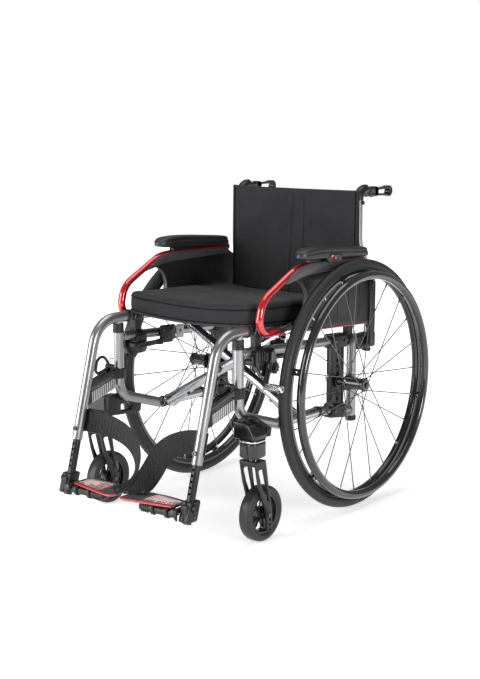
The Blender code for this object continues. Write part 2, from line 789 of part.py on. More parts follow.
def rear_wheel():
    """Rim, hub and spokes laced into one, the tyre, the handrim on its tabs and the release button."""
    centre = (WHEEL_X, 0, WHEEL_R)
    half = RIM_W / 2
    inner = RIM_R - RIM_DEPTH
    rim = turned(
        [(RIM_R, -half), (RIM_R, half), (RIM_R - 0.007, half), (inner, 0), (RIM_R - 0.007, -half)],
        centre,
        WHEEL_STEPS,
    )
    hub = turned(
        [
            (0, -HUB_IN - AXLE_REACH),
            (AXLE_R, -HUB_IN - AXLE_REACH),
            (AXLE_R, -HUB_IN),
            (0.013, -HUB_IN),
            (0.014, -FLANGE_IN - FLANGE_T / 2),
            (FLANGE_R, -FLANGE_IN - FLANGE_T / 2),
            (FLANGE_R, -FLANGE_IN + FLANGE_T / 2),
            (HUB_R + 0.003, -FLANGE_IN + FLANGE_T),
            (HUB_R, FLANGE_OUT - FLANGE_T),
            (OUTER_FLANGE_R, FLANGE_OUT - FLANGE_T / 2),
            (OUTER_FLANGE_R, FLANGE_OUT + FLANGE_T / 2),
            (0.0136, HUB_OUT),
            (0, HUB_OUT),
        ],
        centre,
        12,
    )
    spokes = []
    for i in range(SPOKES):
        side = 1 if i % 2 else -1
        flange = FLANGE_OUT if side > 0 else -FLANGE_IN
        turn = 2 * math.pi * i / SPOKES
        pull = 1 if i % 4 < 2 else -1
        foot = ((OUTER_FLANGE_R if side > 0 else FLANGE_R) - 0.003, turn + pull * math.radians(62))
        head = (inner + 0.004, turn)
        ends = [
            (
                WHEEL_X + flange + 0.0012 * pull,
                foot[0] * math.cos(foot[1]),
                WHEEL_R + foot[0] * math.sin(foot[1]),
            ),
            (WHEEL_X + side * 0.002, head[0] * math.cos(head[1]), WHEEL_R + head[0] * math.sin(head[1])),
        ]
        spokes.append(rod(*ends, SPOKE_R, 3))
    wheel = joined(hub, rim, *spokes)
    recess = hole(
        (WHEEL_X + HUB_OUT - BUTTON_DEPTH, 0, WHEEL_R),
        (WHEEL_X + HUB_OUT + 0.01, 0, WHEEL_R),
        BUTTON_R + SLIDE_GAP,
    )
    add_pair("wheel", cut(wheel, recess), BLACK_METAL, centre)
    button = turned(
        [
            (0, HUB_OUT - BUTTON_DEPTH + 0.004),
            (BUTTON_R, HUB_OUT - BUTTON_DEPTH + 0.004),
            (BUTTON_R, HUB_OUT + BUTTON_PROUD - 0.0015),
            (BUTTON_R - 0.0015, HUB_OUT + BUTTON_PROUD),
            (0, HUB_OUT + BUTTON_PROUD),
        ],
        centre,
        12,
    )
    add_pair("axle_button", button, BLACK_PLASTIC, centre)
    seat = RIM_R + SEAT_GAP
    profile = [(seat, -half + 0.001)] + [
        (seat + 0.006 + (WHEEL_R - seat - 0.006) * math.sin(a), TYRE_W / 2 * -math.cos(a))
        for a in [math.pi * i / 4 for i in range(5)]
    ] + [(seat, half - 0.001)]
    add_pair("tyre", turned(profile, centre, WHEEL_STEPS), RUBBER, centre)
    handrim()


def handrim():
    centre = Vector((WHEEL_X, 0, WHEEL_R))
    plane = WHEEL_X + HANDRIM_OUT
    path = []
    for i in range(WHEEL_STEPS):
        angle = 2 * math.pi * i / WHEEL_STEPS
        path.append((plane, HANDRIM_R * math.cos(angle), WHEEL_R + HANDRIM_R * math.sin(angle)))
    hoop = tube(path, HANDRIM_TUBE_R, 6, loop=True)
    tabs = []
    start = WHEEL_X + RIM_W / 2 + SEAT_GAP
    for i in range(HANDRIM_TABS):
        tab = block(
            (start, -TAB_W / 2, HANDRIM_R + 0.001),
            (plane, TAB_W / 2, HANDRIM_R + 0.001 + TAB_T),
        )
        turn = Matrix.Rotation(2 * math.pi * (i + 0.25) / HANDRIM_TABS, 4, "X")
        tab.transform(Matrix.Translation((0, 0, WHEEL_R)) @ turn)
        tabs.append(tab)
    add_pair("handrim", joined(hoop, *tabs), BLACK_METAL, centre)


def axle_plate():
    """A drilled plate clamped between the two rails, with the sleeve that takes the axle."""
    x = FRAME_X
    low = LOWER_REAR_Z + (PIVOT_Z - LOWER_REAR_Z) * REAR_UPRIGHT_Y / (REAR_UPRIGHT_Y - SPIGOT_REAR - 0.012)
    high = rail_z(0)
    half = PLATE_T / 2
    strap = block((x - half, -PLATE_HALF_W, low), (x + half, PLATE_HALF_W, high))
    clamps = [
        block(
            (x - PLATE_CLAMP_W / 2, -PLATE_CLAMP_HALF_L, z - PLATE_CLAMP_H / 2),
            (x + PLATE_CLAMP_W / 2, PLATE_CLAMP_HALF_L, z + PLATE_CLAMP_H / 2),
        )
        for z in (low, high)
    ]
    sleeve_out = WHEEL_X - HUB_IN - SLIDE_GAP
    sleeve = rod((x - SLEEVE_IN, 0, WHEEL_R), (sleeve_out, 0, WHEEL_R), SLEEVE_R, 12)
    plate = joined(strap, *clamps, sleeve)
    rail_slope = (PIVOT_Z - LOWER_REAR_Z) / (REAR_UPRIGHT_Y - SPIGOT_REAR - 0.012)
    reach = 2 * PLATE_CLAMP_HALF_L
    lower_rail = rod(
        (x, -reach, low + rail_slope * reach),
        (x, reach, low - rail_slope * reach),
        TUBE_R + SEAT_GAP,
    )
    upper_rail = rod((x, -reach, rail_z(-reach)), (x, reach, rail_z(reach)), TUBE_R + SEAT_GAP)
    bore = hole((x - SLEEVE_IN - 0.01, 0, WHEEL_R), (sleeve_out + 0.01, 0, WHEEL_R), AXLE_R + TURN_GAP)
    holes = []
    for i in range(PLATE_HOLES):
        step = (i - PLATE_HOLES // 2) + (0.5 if i >= PLATE_HOLES // 2 else 0) - 0.5
        z = WHEEL_R + PLATE_HOLE_PITCH * (step + (0.6 if step > 0 else -0.1))
        if abs(z - WHEEL_R) > SLEEVE_R + PLATE_HOLE_R:
            holes.append(rod((x - 2 * half, 0, z), (x + 2 * half, 0, z), PLATE_HOLE_R, 6))
    add_pair("axle_plate", cut(plate, lower_rail, upper_rail, bore, *holes), BLACK_METAL)


def caster():
    """Housing on the lower rail, swivelling fork with its stem and axle, wheel and tyre."""
    stem_y = CASTER_Y - CASTER_TRAIL
    centre = (CASTER_X, CASTER_Y, CASTER_R)
    inner = CASTER_R - CASTER_TYRE_DEPTH
    half = CASTER_TYRE_W / 2
    tyre = turned(
        [
            (inner + SEAT_GAP, -half + 0.003),
            (inner + 0.008, -half),
            (CASTER_R, -half + 0.008),
            (CASTER_R, half - 0.008),
            (inner + 0.008, half),
            (inner + SEAT_GAP, half - 0.003),
        ],
        centre,
        20,
    )
    add_pair("caster_tyre", tyre, RUBBER, centre)
    rim = turned(
        [
            (inner - CASTER_RIM_T, -CASTER_RIM_W / 2),
            (inner, -CASTER_RIM_W / 2),
            (inner, CASTER_RIM_W / 2),
            (inner - CASTER_RIM_T, CASTER_RIM_W / 2),
        ],
        centre,
        20,
    )
    hub = turned(
        [
            (CASTER_AXLE_R + TURN_GAP, -CASTER_HUB_W / 2),
            (CASTER_HUB_R, -CASTER_HUB_W / 2),
            (CASTER_HUB_R, CASTER_HUB_W / 2),
            (CASTER_AXLE_R + TURN_GAP, CASTER_HUB_W / 2),
        ],
        centre,
        10,
    )
    arms = []
    for i in range(CASTER_ARMS):
        arm = block(
            (-0.007, -CASTER_ARM_W / 2, CASTER_HUB_R - 0.002),
            (0.007, CASTER_ARM_W / 2, inner - CASTER_RIM_T / 2),
        )
        arm.transform(
            Matrix.Translation(centre) @ Matrix.Rotation(2 * math.pi * (i + 0.3) / CASTER_ARMS, 4, "X")
        )
        arms.append(arm)
    add_pair("caster_wheel", joined(rim, hub, *arms), BLACK_PLASTIC, centre)
    caster_fork(stem_y)
    caster_housing(stem_y)


def caster_fork(stem_y):
    gap = CASTER_TYRE_W / 2 + FORK_GAP
    out = gap + FORK_LEG_T
    front = stem_y - 0.022
    back = stem_y + 0.014
    leg = [(back, FORK_TOP), (back + 0.010, FORK_TOP - 0.058), (CASTER_Y + FORK_END_R, CASTER_R + 0.012)]
    leg += arc((CASTER_Y + 0.004, CASTER_R - 0.030), FORK_END_R, 0, -180, 5)
    leg += [
        (CASTER_Y - 0.007, CASTER_R + 0.012),
        (CASTER_Y - 0.026, CASTER_R + 0.040),
        (front + 0.011, FORK_TOP - 0.050),
        (front, FORK_TOP),
    ]
    legs = [prism(leg, CASTER_X + side * gap, CASTER_X + side * out) for side in (-1, 1)]
    crown = block((CASTER_X - out, front, FORK_TOP - FORK_CROWN_T), (CASTER_X + out, back, FORK_TOP))
    stem = turned(
        [
            (0, FORK_TOP - 0.004),
            (STEM_SPACER_R, FORK_TOP - 0.004),
            (STEM_SPACER_R, FORK_TOP + STEM_SPACER_H),
            (STEM_R, FORK_TOP + STEM_SPACER_H),
            (STEM_R, FORK_TOP + STEM_LEN),
            (0, FORK_TOP + STEM_LEN),
        ],
        (CASTER_X, stem_y, 0),
        10,
        "Z",
    )
    axle = rod(
        (CASTER_X - out - 0.002, CASTER_Y, CASTER_R),
        (CASTER_X + out + 0.002, CASTER_Y, CASTER_R),
        CASTER_AXLE_R,
        8,
    )
    fork = joined(crown, *legs, stem, axle)
    slot = [
        (front + 0.010, FORK_TOP - 0.020),
        (back - 0.008, FORK_TOP - 0.020),
        (back + 0.002, FORK_TOP - 0.058),
        (CASTER_Y + 0.001, CASTER_R + 0.029),
        (CASTER_Y - 0.008, CASTER_R + 0.034),
        (front + 0.020, FORK_TOP - 0.052),
    ]
    window = prism(slot, CASTER_X - 2 * out, CASTER_X + 2 * out)
    holes = [
        rod((CASTER_X - 2 * out, CASTER_Y + 0.004, z), (CASTER_X + 2 * out, CASTER_Y + 0.004, z), 0.0028, 6)
        for z in [CASTER_R - 0.0115 * (i + 1) for i in range(3)]
    ]
    add_pair("caster_fork", cut(fork, window, *holes), BLACK_METAL, (CASTER_X, stem_y, FORK_TOP))


def caster_housing(stem_y):
    """A moulded barrel over the stem, and the bracket that bolts it under the bend of the lower rail."""
    low = FORK_TOP + STEM_SPACER_H + SEAT_GAP
    top = low + HOUSING_H
    barrel = block(
        (CASTER_X - HOUSING_W / 2, stem_y - HOUSING_L / 2, low),
        (CASTER_X + HOUSING_W / 2, stem_y + HOUSING_L / 2, top),
        0.009,
    )
    side = FRAME_X + POST_R + SEAT_GAP
    web = prism(
        [
            (stem_y - 0.014, top - 0.012),
            (stem_y - 0.010, top + 0.038),
            (UPRIGHT_Y + 0.030, top + 0.040),
            (SPIGOT_FRONT - 0.055, PIVOT_Z + 0.004),
            (SPIGOT_FRONT - 0.060, PIVOT_Z - 0.016),
            (stem_y + 0.040, top - 0.012),
        ],
        side,
        side + 0.012,
    )
    cap = soft_edges(
        prism(
            [
                (stem_y - 0.014, top - 0.010),
                (stem_y - 0.010, top + 0.028),
                (stem_y + 0.020, top + 0.028),
                (stem_y + 0.030, top - 0.010),
            ],
            side,
            CASTER_X + 0.004,
        ),
        0.005,
    )
    bolts = [
        rod((side + 0.006, y, z), (side + 0.016, y, z), 0.006, 10)
        for y, z in ((stem_y + 0.045, top + 0.018), (stem_y + 0.080, top - 0.002))
    ]
    bore = hole(
        (CASTER_X, stem_y, low - 0.01),
        (CASTER_X, stem_y, FORK_TOP + STEM_LEN + 0.001),
        STEM_R + TURN_GAP,
    )
    add_pair("caster_housing", cut(joined(barrel, web, cap, *bolts), bore), BLACK_PLASTIC)


def hanger():
    """The bent hanger on its vertical hinge pin, its latch bracket, and the loop that releases it."""
    x = FRAME_X
    corners = [
        (HANGER_REAR_Y, HANGER_TOP_Z),
        (HANGER_CORNER_Y, HANGER_TOP_Z),
        (hanger_y(HANGER_LOW_Z), HANGER_LOW_Z),
    ]
    bent = tube(rounded(in_plane(x, corners), (HANGER_BEND_R,)), HANGER_R)
    pin_low = UPRIGHT_TOP - HINGE_BORE_DEPTH + 0.004
    bush = rod((x, UPRIGHT_Y, UPRIGHT_TOP + SEAT_GAP), (x, UPRIGHT_Y, HANGER_TOP_Z), TUBE_R)
    pin = rod((x, UPRIGHT_Y, pin_low), (x, UPRIGHT_Y, HANGER_TOP_Z), HINGE_BORE_R - TURN_GAP)
    band = rod(
        (x, HANGER_REAR_Y - 0.002, HANGER_TOP_Z),
        (x, HANGER_REAR_Y + 0.004, HANGER_TOP_Z),
        HANGER_R + 0.0015,
    )
    low = HANGER_LATCH_LOW
    high = LATCH_COLLAR_Z + LATCH_COLLAR_H / 2
    bracket = prism(
        [
            (hanger_y(low), low - 0.012),
            (hanger_y(low) + 0.020, low - 0.010),
            (UPRIGHT_Y - 0.006, LATCH_COLLAR_Z - LATCH_COLLAR_H / 2),
            (UPRIGHT_Y - 0.006, high),
            (UPRIGHT_Y - 0.028, high + 0.002),
            (hanger_y(low + 0.045), low + 0.030),
        ],
        x - 0.012,
        x + 0.012,
    )
    hollow = rod(
        (x, hanger_y(HANGER_LOW_Z - 0.02), HANGER_LOW_Z - 0.02),
        (x, hanger_y(HANGER_LOW_Z + FOOT_TUBE_INSERT + 0.004), HANGER_LOW_Z + FOOT_TUBE_INSERT + 0.004),
        FOOT_TUBE_R + SEAT_GAP,
    )
    around = hole((x, UPRIGHT_Y, low - 0.05), (x, UPRIGHT_Y, high + 0.05), LATCH_COLLAR_R + SEAT_GAP, 16)
    ahead = Vector((0, -1, HANGER_LEAN)).normalized()
    height_bolt = Vector((x, hanger_y(0.216), 0.216))
    bolt = rod(height_bolt + ahead * (HANGER_R + 0.003), height_bolt + ahead * (HANGER_R - 0.0006), 0.006)
    body = cut(joined(bent, bush, bracket, band), hollow, around)
    base = (UPRIGHT_Y - 0.030, high + 0.002 + SEAT_GAP + LATCH_HUB_R)
    add_pair("hanger", joined(body, pin, bolt, *latch_ears(base)), GREY_METAL, (x, UPRIGHT_Y, HANGER_TOP_Z))
    hanger_latch(base)


def latch_ears(base):
    """The two ears on the bracket, and the pin between them that the release loop turns on."""
    inner = LATCH_HUB_W / 2 + SEAT_GAP
    outer = inner + LATCH_EAR_T
    outline = arc(base, LATCH_HUB_R, 0, 180, 4)
    outline += [
        (base[0] - LATCH_HUB_R, base[1] - 2 * LATCH_HUB_R - 0.004),
        (base[0] + LATCH_HUB_R, base[1] - 2 * LATCH_HUB_R - 0.004),
    ]
    ears = [prism(outline, FRAME_X + low, FRAME_X + low + LATCH_EAR_T) for low in (-outer, inner)]
    pin = rod((FRAME_X - inner - 0.001, *base), (FRAME_X + inner + 0.001, *base), LATCH_PIN_R)
    return [*ears, pin]


def hanger_latch(base):
    x = FRAME_X
    corners = [
        (base[0] - 0.026, base[1] - 0.009),
        (base[0], base[1]),
        (base[0] - 0.036, base[1] + 0.047),
        (base[0] - 0.050, base[1] - 0.016),
        (base[0] - 0.026, base[1] - 0.009),
    ]
    path = rounded(in_plane(x, corners), (0.006, 0.010, 0.010), 0.6)[:-1]
    loop = tube(path, LOOP_ROD_R, 6, loop=True)
    half = LATCH_HUB_W / 2
    hub = rod((x - half, *base), (x + half, *base), LATCH_HUB_R, 10)
    bore = hole((x - 2 * half, *base), (x + 2 * half, *base), LATCH_PIN_R + TURN_GAP, 8)
    add_pair("hanger_latch", cut(joined(loop, hub), bore), BLACK_PLASTIC, (x, *base))


def footrest():
    x = FRAME_X
    top = HANGER_LOW_Z + FOOT_TUBE_INSERT
    stem = rod((x, hanger_y(FOOT_TUBE_LOW), FOOT_TUBE_LOW), (x, hanger_y(top), top), FOOT_TUBE_R)
    holes = []
    for i in range(FOOT_HOLES):
        z = HANGER_LOW_Z - 0.008 - i * FOOT_HOLE_PITCH
        y = hanger_y(z) - FOOT_TUBE_R
        holes.append(rod((x - 0.003, y - 0.004, z), (x - 0.003, y + 0.005, z), FOOT_HOLE_R, 6))
    add_pair("footrest_tube", cut(stem, *holes), BLACK_METAL)
    footplate_bracket()
    footplate()
    heel_strap()


def footplate_bracket():
    """A moulded clamp on the foot of the tube, whose two ears carry the footplate's hinge."""
    x = FRAME_X
    y = hanger_y(PLATE_AXIS_Z)
    low = FOOT_TUBE_LOW + 0.004
    top = 0.121
    body = soft_edges(
        prism(
            [
                (hanger_y(low) - 0.018, low),
                (hanger_y(low) + 0.017, low),
                (hanger_y(top) + 0.019, top),
                (hanger_y(top) - 0.016, top),
            ],
            x - FOOT_TUBE_R - 0.0025,
            x + FOOT_TUBE_R + 0.005,
        ),
        0.003,
        least=1.5,
    )
    knuckle = FOOT_BAR_L / 2
    ears = []
    for side in (-1, 1):
        inside = FOOT_BAR_Y + side * (knuckle + SEAT_GAP)
        outside = FOOT_BAR_Y + side * (knuckle + 0.006)
        outline = arc((PLATE_AXIS_X, PLATE_AXIS_Z), 0.0065, 90, 270, 6) + [
            (x - FOOT_TUBE_R, PLATE_AXIS_Z - 0.018),
            (x - FOOT_TUBE_R, PLATE_AXIS_Z + 0.006),
        ]
        ears.append(prism(outline, min(inside, outside), max(inside, outside), "Y"))
    reach = knuckle + 0.006
    pin = rod(
        (PLATE_AXIS_X, FOOT_BAR_Y - reach, PLATE_AXIS_Z),
        (PLATE_AXIS_X, FOOT_BAR_Y + reach, PLATE_AXIS_Z),
        0.003,
        8,
    )
    bolt = rod(
        (x + FOOT_TUBE_R + 0.004, y + 0.004, 0.106),
        (x + FOOT_TUBE_R + 0.012, y + 0.004, 0.106),
        0.0075,
        10,
    )
    bore = rod(
        (x, hanger_y(low - 0.02), low - 0.02),
        (x, hanger_y(top + 0.02), top + 0.02),
        FOOT_TUBE_R + SEAT_GAP,
    )
    add_pair("footplate_bracket", joined(cut(body, bore), *ears, pin, bolt), BLACK_PLASTIC)


def footplate():
    """The hinged bar, and the plate that its two rings clamp on top."""
    axis = (PLATE_AXIS_X, FOOT_BAR_Y, PLATE_AXIS_Z)
    under = PLATE_TOP - FOOTPLATE_T - SEAT_GAP
    half = FOOT_BAR_L / 2
    low_out = PLATE_AXIS_Z - 0.016
    knuckle = rod(
        (PLATE_AXIS_X, FOOT_BAR_Y - half, PLATE_AXIS_Z),
        (PLATE_AXIS_X, FOOT_BAR_Y + half, PLATE_AXIS_Z),
        0.0062,
        12,
    )
    beam = prism(
        [
            (PLATE_AXIS_X - 0.002, PLATE_AXIS_Z + 0.002),
            (PLATE_AXIS_X - 0.002, PLATE_AXIS_Z - 0.005),
            (PLATE_AXIS_X - 0.014, low_out),
            (FOOT_BAR_INNER + 0.006, PLATE_AXIS_Z - 0.011),
            (FOOT_BAR_INNER, PLATE_AXIS_Z - 0.006),
            (FOOT_BAR_INNER, PLATE_AXIS_Z + 0.002),
        ],
        FOOT_BAR_Y - half,
        FOOT_BAR_Y + half,
        "Y",
    )
    rings = [
        block(
            (x - 0.004, FOOT_BAR_Y - half - 0.003, low_out - 0.002),
            (x + 0.004, FOOT_BAR_Y + half + 0.003, under),
        )
        for x in (PLATE_AXIS_X - 0.022, PLATE_AXIS_X - 0.062)
    ]
    bore = hole(
        (axis[0], FOOT_BAR_Y - 2 * half, axis[2]),
        (axis[0], FOOT_BAR_Y + 2 * half, axis[2]),
        0.003 + TURN_GAP,
        8,
    )
    add_pair("footplate_bar", cut(joined(knuckle, beam, *rings), bore), BLACK_PLASTIC, axis)
    middle = (FOOTPLATE_INNER + FOOTPLATE_OUTER) / 2
    outline = [
        (FOOTPLATE_INNER, FOOTPLATE_FRONT + 0.014),
        (FOOTPLATE_INNER + 0.004, FOOTPLATE_FRONT + 0.003),
        (FOOTPLATE_INNER + 0.016, FOOTPLATE_FRONT),
        (middle, FOOTPLATE_FRONT + 0.010),
        (FOOTPLATE_OUTER - 0.004, FOOTPLATE_FRONT + 0.023),
        (FOOTPLATE_OUTER, FOOTPLATE_FRONT + 0.030),
        (FOOTPLATE_OUTER, FOOTPLATE_REAR - 0.014),
        (FOOTPLATE_OUTER - 0.012, FOOTPLATE_REAR - 0.004),
        (middle + 0.010, FOOTPLATE_REAR),
        (FOOTPLATE_INNER + 0.026, FOOTPLATE_REAR - 0.004),
        (FOOTPLATE_INNER + 0.004, FOOTPLATE_REAR - 0.022),
    ]
    plate = prism(outline, PLATE_TOP - FOOTPLATE_T, PLATE_TOP, "Z")
    panel = [
        (PANEL_INNER, FOOTPLATE_REAR - 0.006),
        (PANEL_INNER, FOOTPLATE_FRONT + 0.013),
        (FOOTPLATE_OUTER - 0.006, FOOTPLATE_FRONT + 0.033),
        (FOOTPLATE_OUTER - 0.006, FOOTPLATE_REAR - 0.016),
        (FOOTPLATE_OUTER - 0.014, FOOTPLATE_REAR - 0.010),
    ]
    recess = prism(panel, PLATE_TOP - PANEL_DEPTH, PLATE_TOP + PANEL_DEPTH, "Z")
    add_pair("footplate", cut(plate, recess), CLEAR_RED, axis)


def heel_strap():
    """A wide webbing strap from behind the hanger, round the heel, to the inner end of the footplate."""
    down = Vector((0, -HANGER_LEAN, -1)).normalized()
    behind = Vector((0, 1, -HANGER_LEAN)).normalized() * (HANGER_R + SEAT_GAP + STRAP_T / 2)
    high = Vector((FRAME_X, hanger_y(0.232), 0.232)) + behind
    rest = PLATE_TOP + SEAT_GAP + STRAP_T / 2
    places = [
        (high, down),
        ((0.162, -0.4835, 0.2290), down),
        ((0.140, -0.472, 0.226), (0, -0.12, -1)),
        ((0.105, -0.462, 0.216), (0.15, 0, -1)),
        ((0.071, -0.459, 0.199), (0.35, 0, -0.9)),
        ((0.044, -0.463, 0.176), (0.65, 0.05, -0.75)),
        ((0.030, -0.473, 0.150), (0.80, 0.08, -0.60)),
        ((0.026, -0.492, 0.127), (0.85, 0.30, -0.35)),
        ((0.031, -0.514, rest), (0.9, 0.30, 0)),
        ((0.036, -0.530, rest), (0.9, 0.30, 0)),
    ]
    centres = [Vector(place[0]) for place in places]
    sections = []
    for i, centre in enumerate(centres):
        along = centres[min(i + 1, len(centres) - 1)] - centres[max(i - 1, 0)]
        across = Vector(places[i][1])
        across = (across - along * across.dot(along) / along.length_squared).normalized()
        half = (STRAP_W - 0.012 * min(max(0, i - 5), 3)) / 2
        normal = along.cross(across).normalized() * STRAP_T / 2
        wide = across * half
        sections.append(
            [
                centre + wide + normal,
                centre - wide + normal,
                centre - wide - normal,
                centre + wide - normal,
            ]
        )
    add_pair("heel_strap", loft(sections), CLOTH)


def brake():
    """A housing on the upper rail, a hand lever inside the rail, and the shoe that presses the tyre."""
    x = FRAME_X + TUBE_R + SEAT_GAP
    out = x + BRAKE_W
    rail = rail_z(BRAKE_Y)
    front = BRAKE_Y - BRAKE_L / 2
    back = BRAKE_Y + BRAKE_L / 2
    shell = soft_edges(
        prism(
            [
                (front, rail + TUBE_R),
                (front, BRAKE_Z + 0.002),
                (front + 0.022, BRAKE_Z - 0.022),
                (BRAKE_Y + 0.006, BRAKE_Z - 0.030),
                (BRAKE_Y + 0.012, BRAKE_Z - 0.022),
                (back + 0.004, BRAKE_Z - 0.020),
                (back + 0.010, BRAKE_Z - 0.010),
                (back + 0.004, BRAKE_Z + 0.002),
                (back - 0.008, rail + TUBE_R),
            ],
            x,
            out - SHOE_ARM_T,
        ),
        0.004,
    )
    saddle = block(
        (FRAME_X - TUBE_R - 0.005, BRAKE_Y - 0.020, rail - TUBE_R - 0.0055),
        (x + 0.004, BRAKE_Y + 0.014, rail + 0.002),
    )
    reach = BRAKE_L
    rail_room = rod(
        (FRAME_X, BRAKE_Y - reach, rail_z(BRAKE_Y - reach)),
        (FRAME_X, BRAKE_Y + reach, rail_z(BRAKE_Y + reach)),
        TUBE_R + SEAT_GAP,
    )
    lever_x = FRAME_X - TUBE_R - 0.005
    lever_y = BRAKE_Y - 0.018
    lever_z = rail - TUBE_R - 0.012
    pivot = rod((lever_x - LEVER_T, lever_y, lever_z), (x + 0.004, lever_y, lever_z), 0.003, 8)
    shoe_pin = rod(
        (out - SHOE_ARM_T - 0.004, BRAKE_Y, BRAKE_Z),
        (out + 0.0025, BRAKE_Y, BRAKE_Z),
        0.0045,
        10,
    )
    lug = rod((lever_x + SEAT_GAP, lever_y, lever_z), (x + 0.004, lever_y, lever_z), 0.0075, 10)
    body = joined(cut(joined(shell, saddle, lug), rail_room), pivot, shoe_pin)
    add_pair("brake_body", body, BLACK_PLASTIC)
    grip = [
        (lever_y + LEVER_L - 0.020, lever_z - 0.0055),
        (lever_y + LEVER_L, lever_z - 0.0085),
        (lever_y + LEVER_L, lever_z + 0.0085),
        (lever_y + LEVER_L - 0.020, lever_z + 0.0065),
    ]
    lever = prism(arc((lever_y, lever_z), 0.0075, 90, 270, 5) + grip, lever_x - LEVER_T, lever_x)
    bore = hole(
        (lever_x - 2 * LEVER_T, lever_y, lever_z),
        (lever_x + LEVER_T, lever_y, lever_z),
        0.003 + TURN_GAP,
        8,
    )
    add_pair("brake_lever", cut(lever, bore), BLACK_METAL, (lever_x, lever_y, lever_z))
    shoe_y = BRAKE_Y - SHOE_LEAD
    shoe_z = BRAKE_Z - SHOE_DROP
    arm = prism(
        arc((BRAKE_Y, BRAKE_Z), 0.0095, -20, 200, 6) + arc((shoe_y, shoe_z), 0.0085, 180, 360, 6),
        out - SHOE_ARM_T + SEAT_GAP,
        out,
    )
    shoe = turned(
        [(0, 0), (SHOE_R, 0), (SHOE_R, SHOE_L - 0.002), (SHOE_R - 0.002, SHOE_L), (0, SHOE_L)],
        (out - SHOE_ARM_T + SEAT_GAP, shoe_y, shoe_z),
        10,
    )
    bore = hole((out - 0.02, BRAKE_Y, BRAKE_Z), (out + 0.02, BRAKE_Y, BRAKE_Z), 0.0045 + TURN_GAP, 10)
    add_pair("brake_shoe", joined(cut(arm, bore), shoe), BRIGHT_METAL, (out, BRAKE_Y, BRAKE_Z))


def armrest_path():
    corners = [
        (ARMREST_LOW_END, ARMREST_LOW_Z),
        (ARMREST_FRONT_Y, ARMREST_LOW_Z),
        (ARMREST_FRONT_Y + 0.018, ARMREST_LOW_Z + 0.533 * ARMREST_H),
        (ARMREST_FRONT_Y + 0.146, ARMREST_TOP_Z),
        (ARMREST_REAR_END, ARMREST_TOP_Z),
    ]
    radii = (0.032, 0.44 * ARMREST_H, 1.17 * ARMREST_H)
    return rounded(in_plane(ARMREST_X, corners), radii, 0.3)


def armrest():
    """The bent red tube, the side guard under it, the pad on top, and the block that it pivots on."""
    pivot = (ARMREST_X, ARMREST_PIVOT_Y, ARMREST_PIVOT_Z)
    bent = tube(armrest_path(), ARMREST_R)
    add_pair("armrest_tube", bent, RED_PAINT, pivot)
    side_guard(pivot)
    arm_pad(pivot)
    x = FRAME_X
    body = block((x - BLOCK_W / 2, BLOCK_FRONT, BLOCK_LOW), (x + BLOCK_W / 2, BLOCK_REAR, BLOCK_TOP))
    lean = (CANE_REST_Y - CANE_LOW_Y) / (CANE_REST_Z - CANE_LOW)
    cane = rod(
        (x, CANE_LOW_Y - lean * 0.03, CANE_LOW - 0.03),
        (x, CANE_LOW_Y + lean * 0.08, CANE_LOW + 0.08),
        CANE_R + SEAT_GAP,
    )
    upright = rod(
        (x, REAR_UPRIGHT_Y, BLOCK_LOW - 0.02),
        (x, REAR_UPRIGHT_Y, BLOCK_TOP + 0.02),
        POST_R + SEAT_GAP,
    )
    rail = rod(
        (x, REAR_UPRIGHT_Y, rail_z(REAR_UPRIGHT_Y)),
        (x, RAIL_END_Y + SEAT_GAP, rail_z(RAIL_END_Y)),
        TUBE_R + SEAT_GAP,
    )
    leg_out = ARMREST_X + GUARD_T / 2
    pin = turned(
        [
            (0, x + 0.010),
            (0.0045, x + 0.010),
            (0.0045, leg_out + SEAT_GAP),
            (0.0075, leg_out + SEAT_GAP),
            (0.0075, leg_out + 0.0035),
            (0, leg_out + 0.0035),
        ],
        (0, ARMREST_PIVOT_Y, ARMREST_PIVOT_Z),
        10,
    )
    add_pair("armrest_block", joined(cut(body, cane, upright, rail), pin), BLACK_PLASTIC)


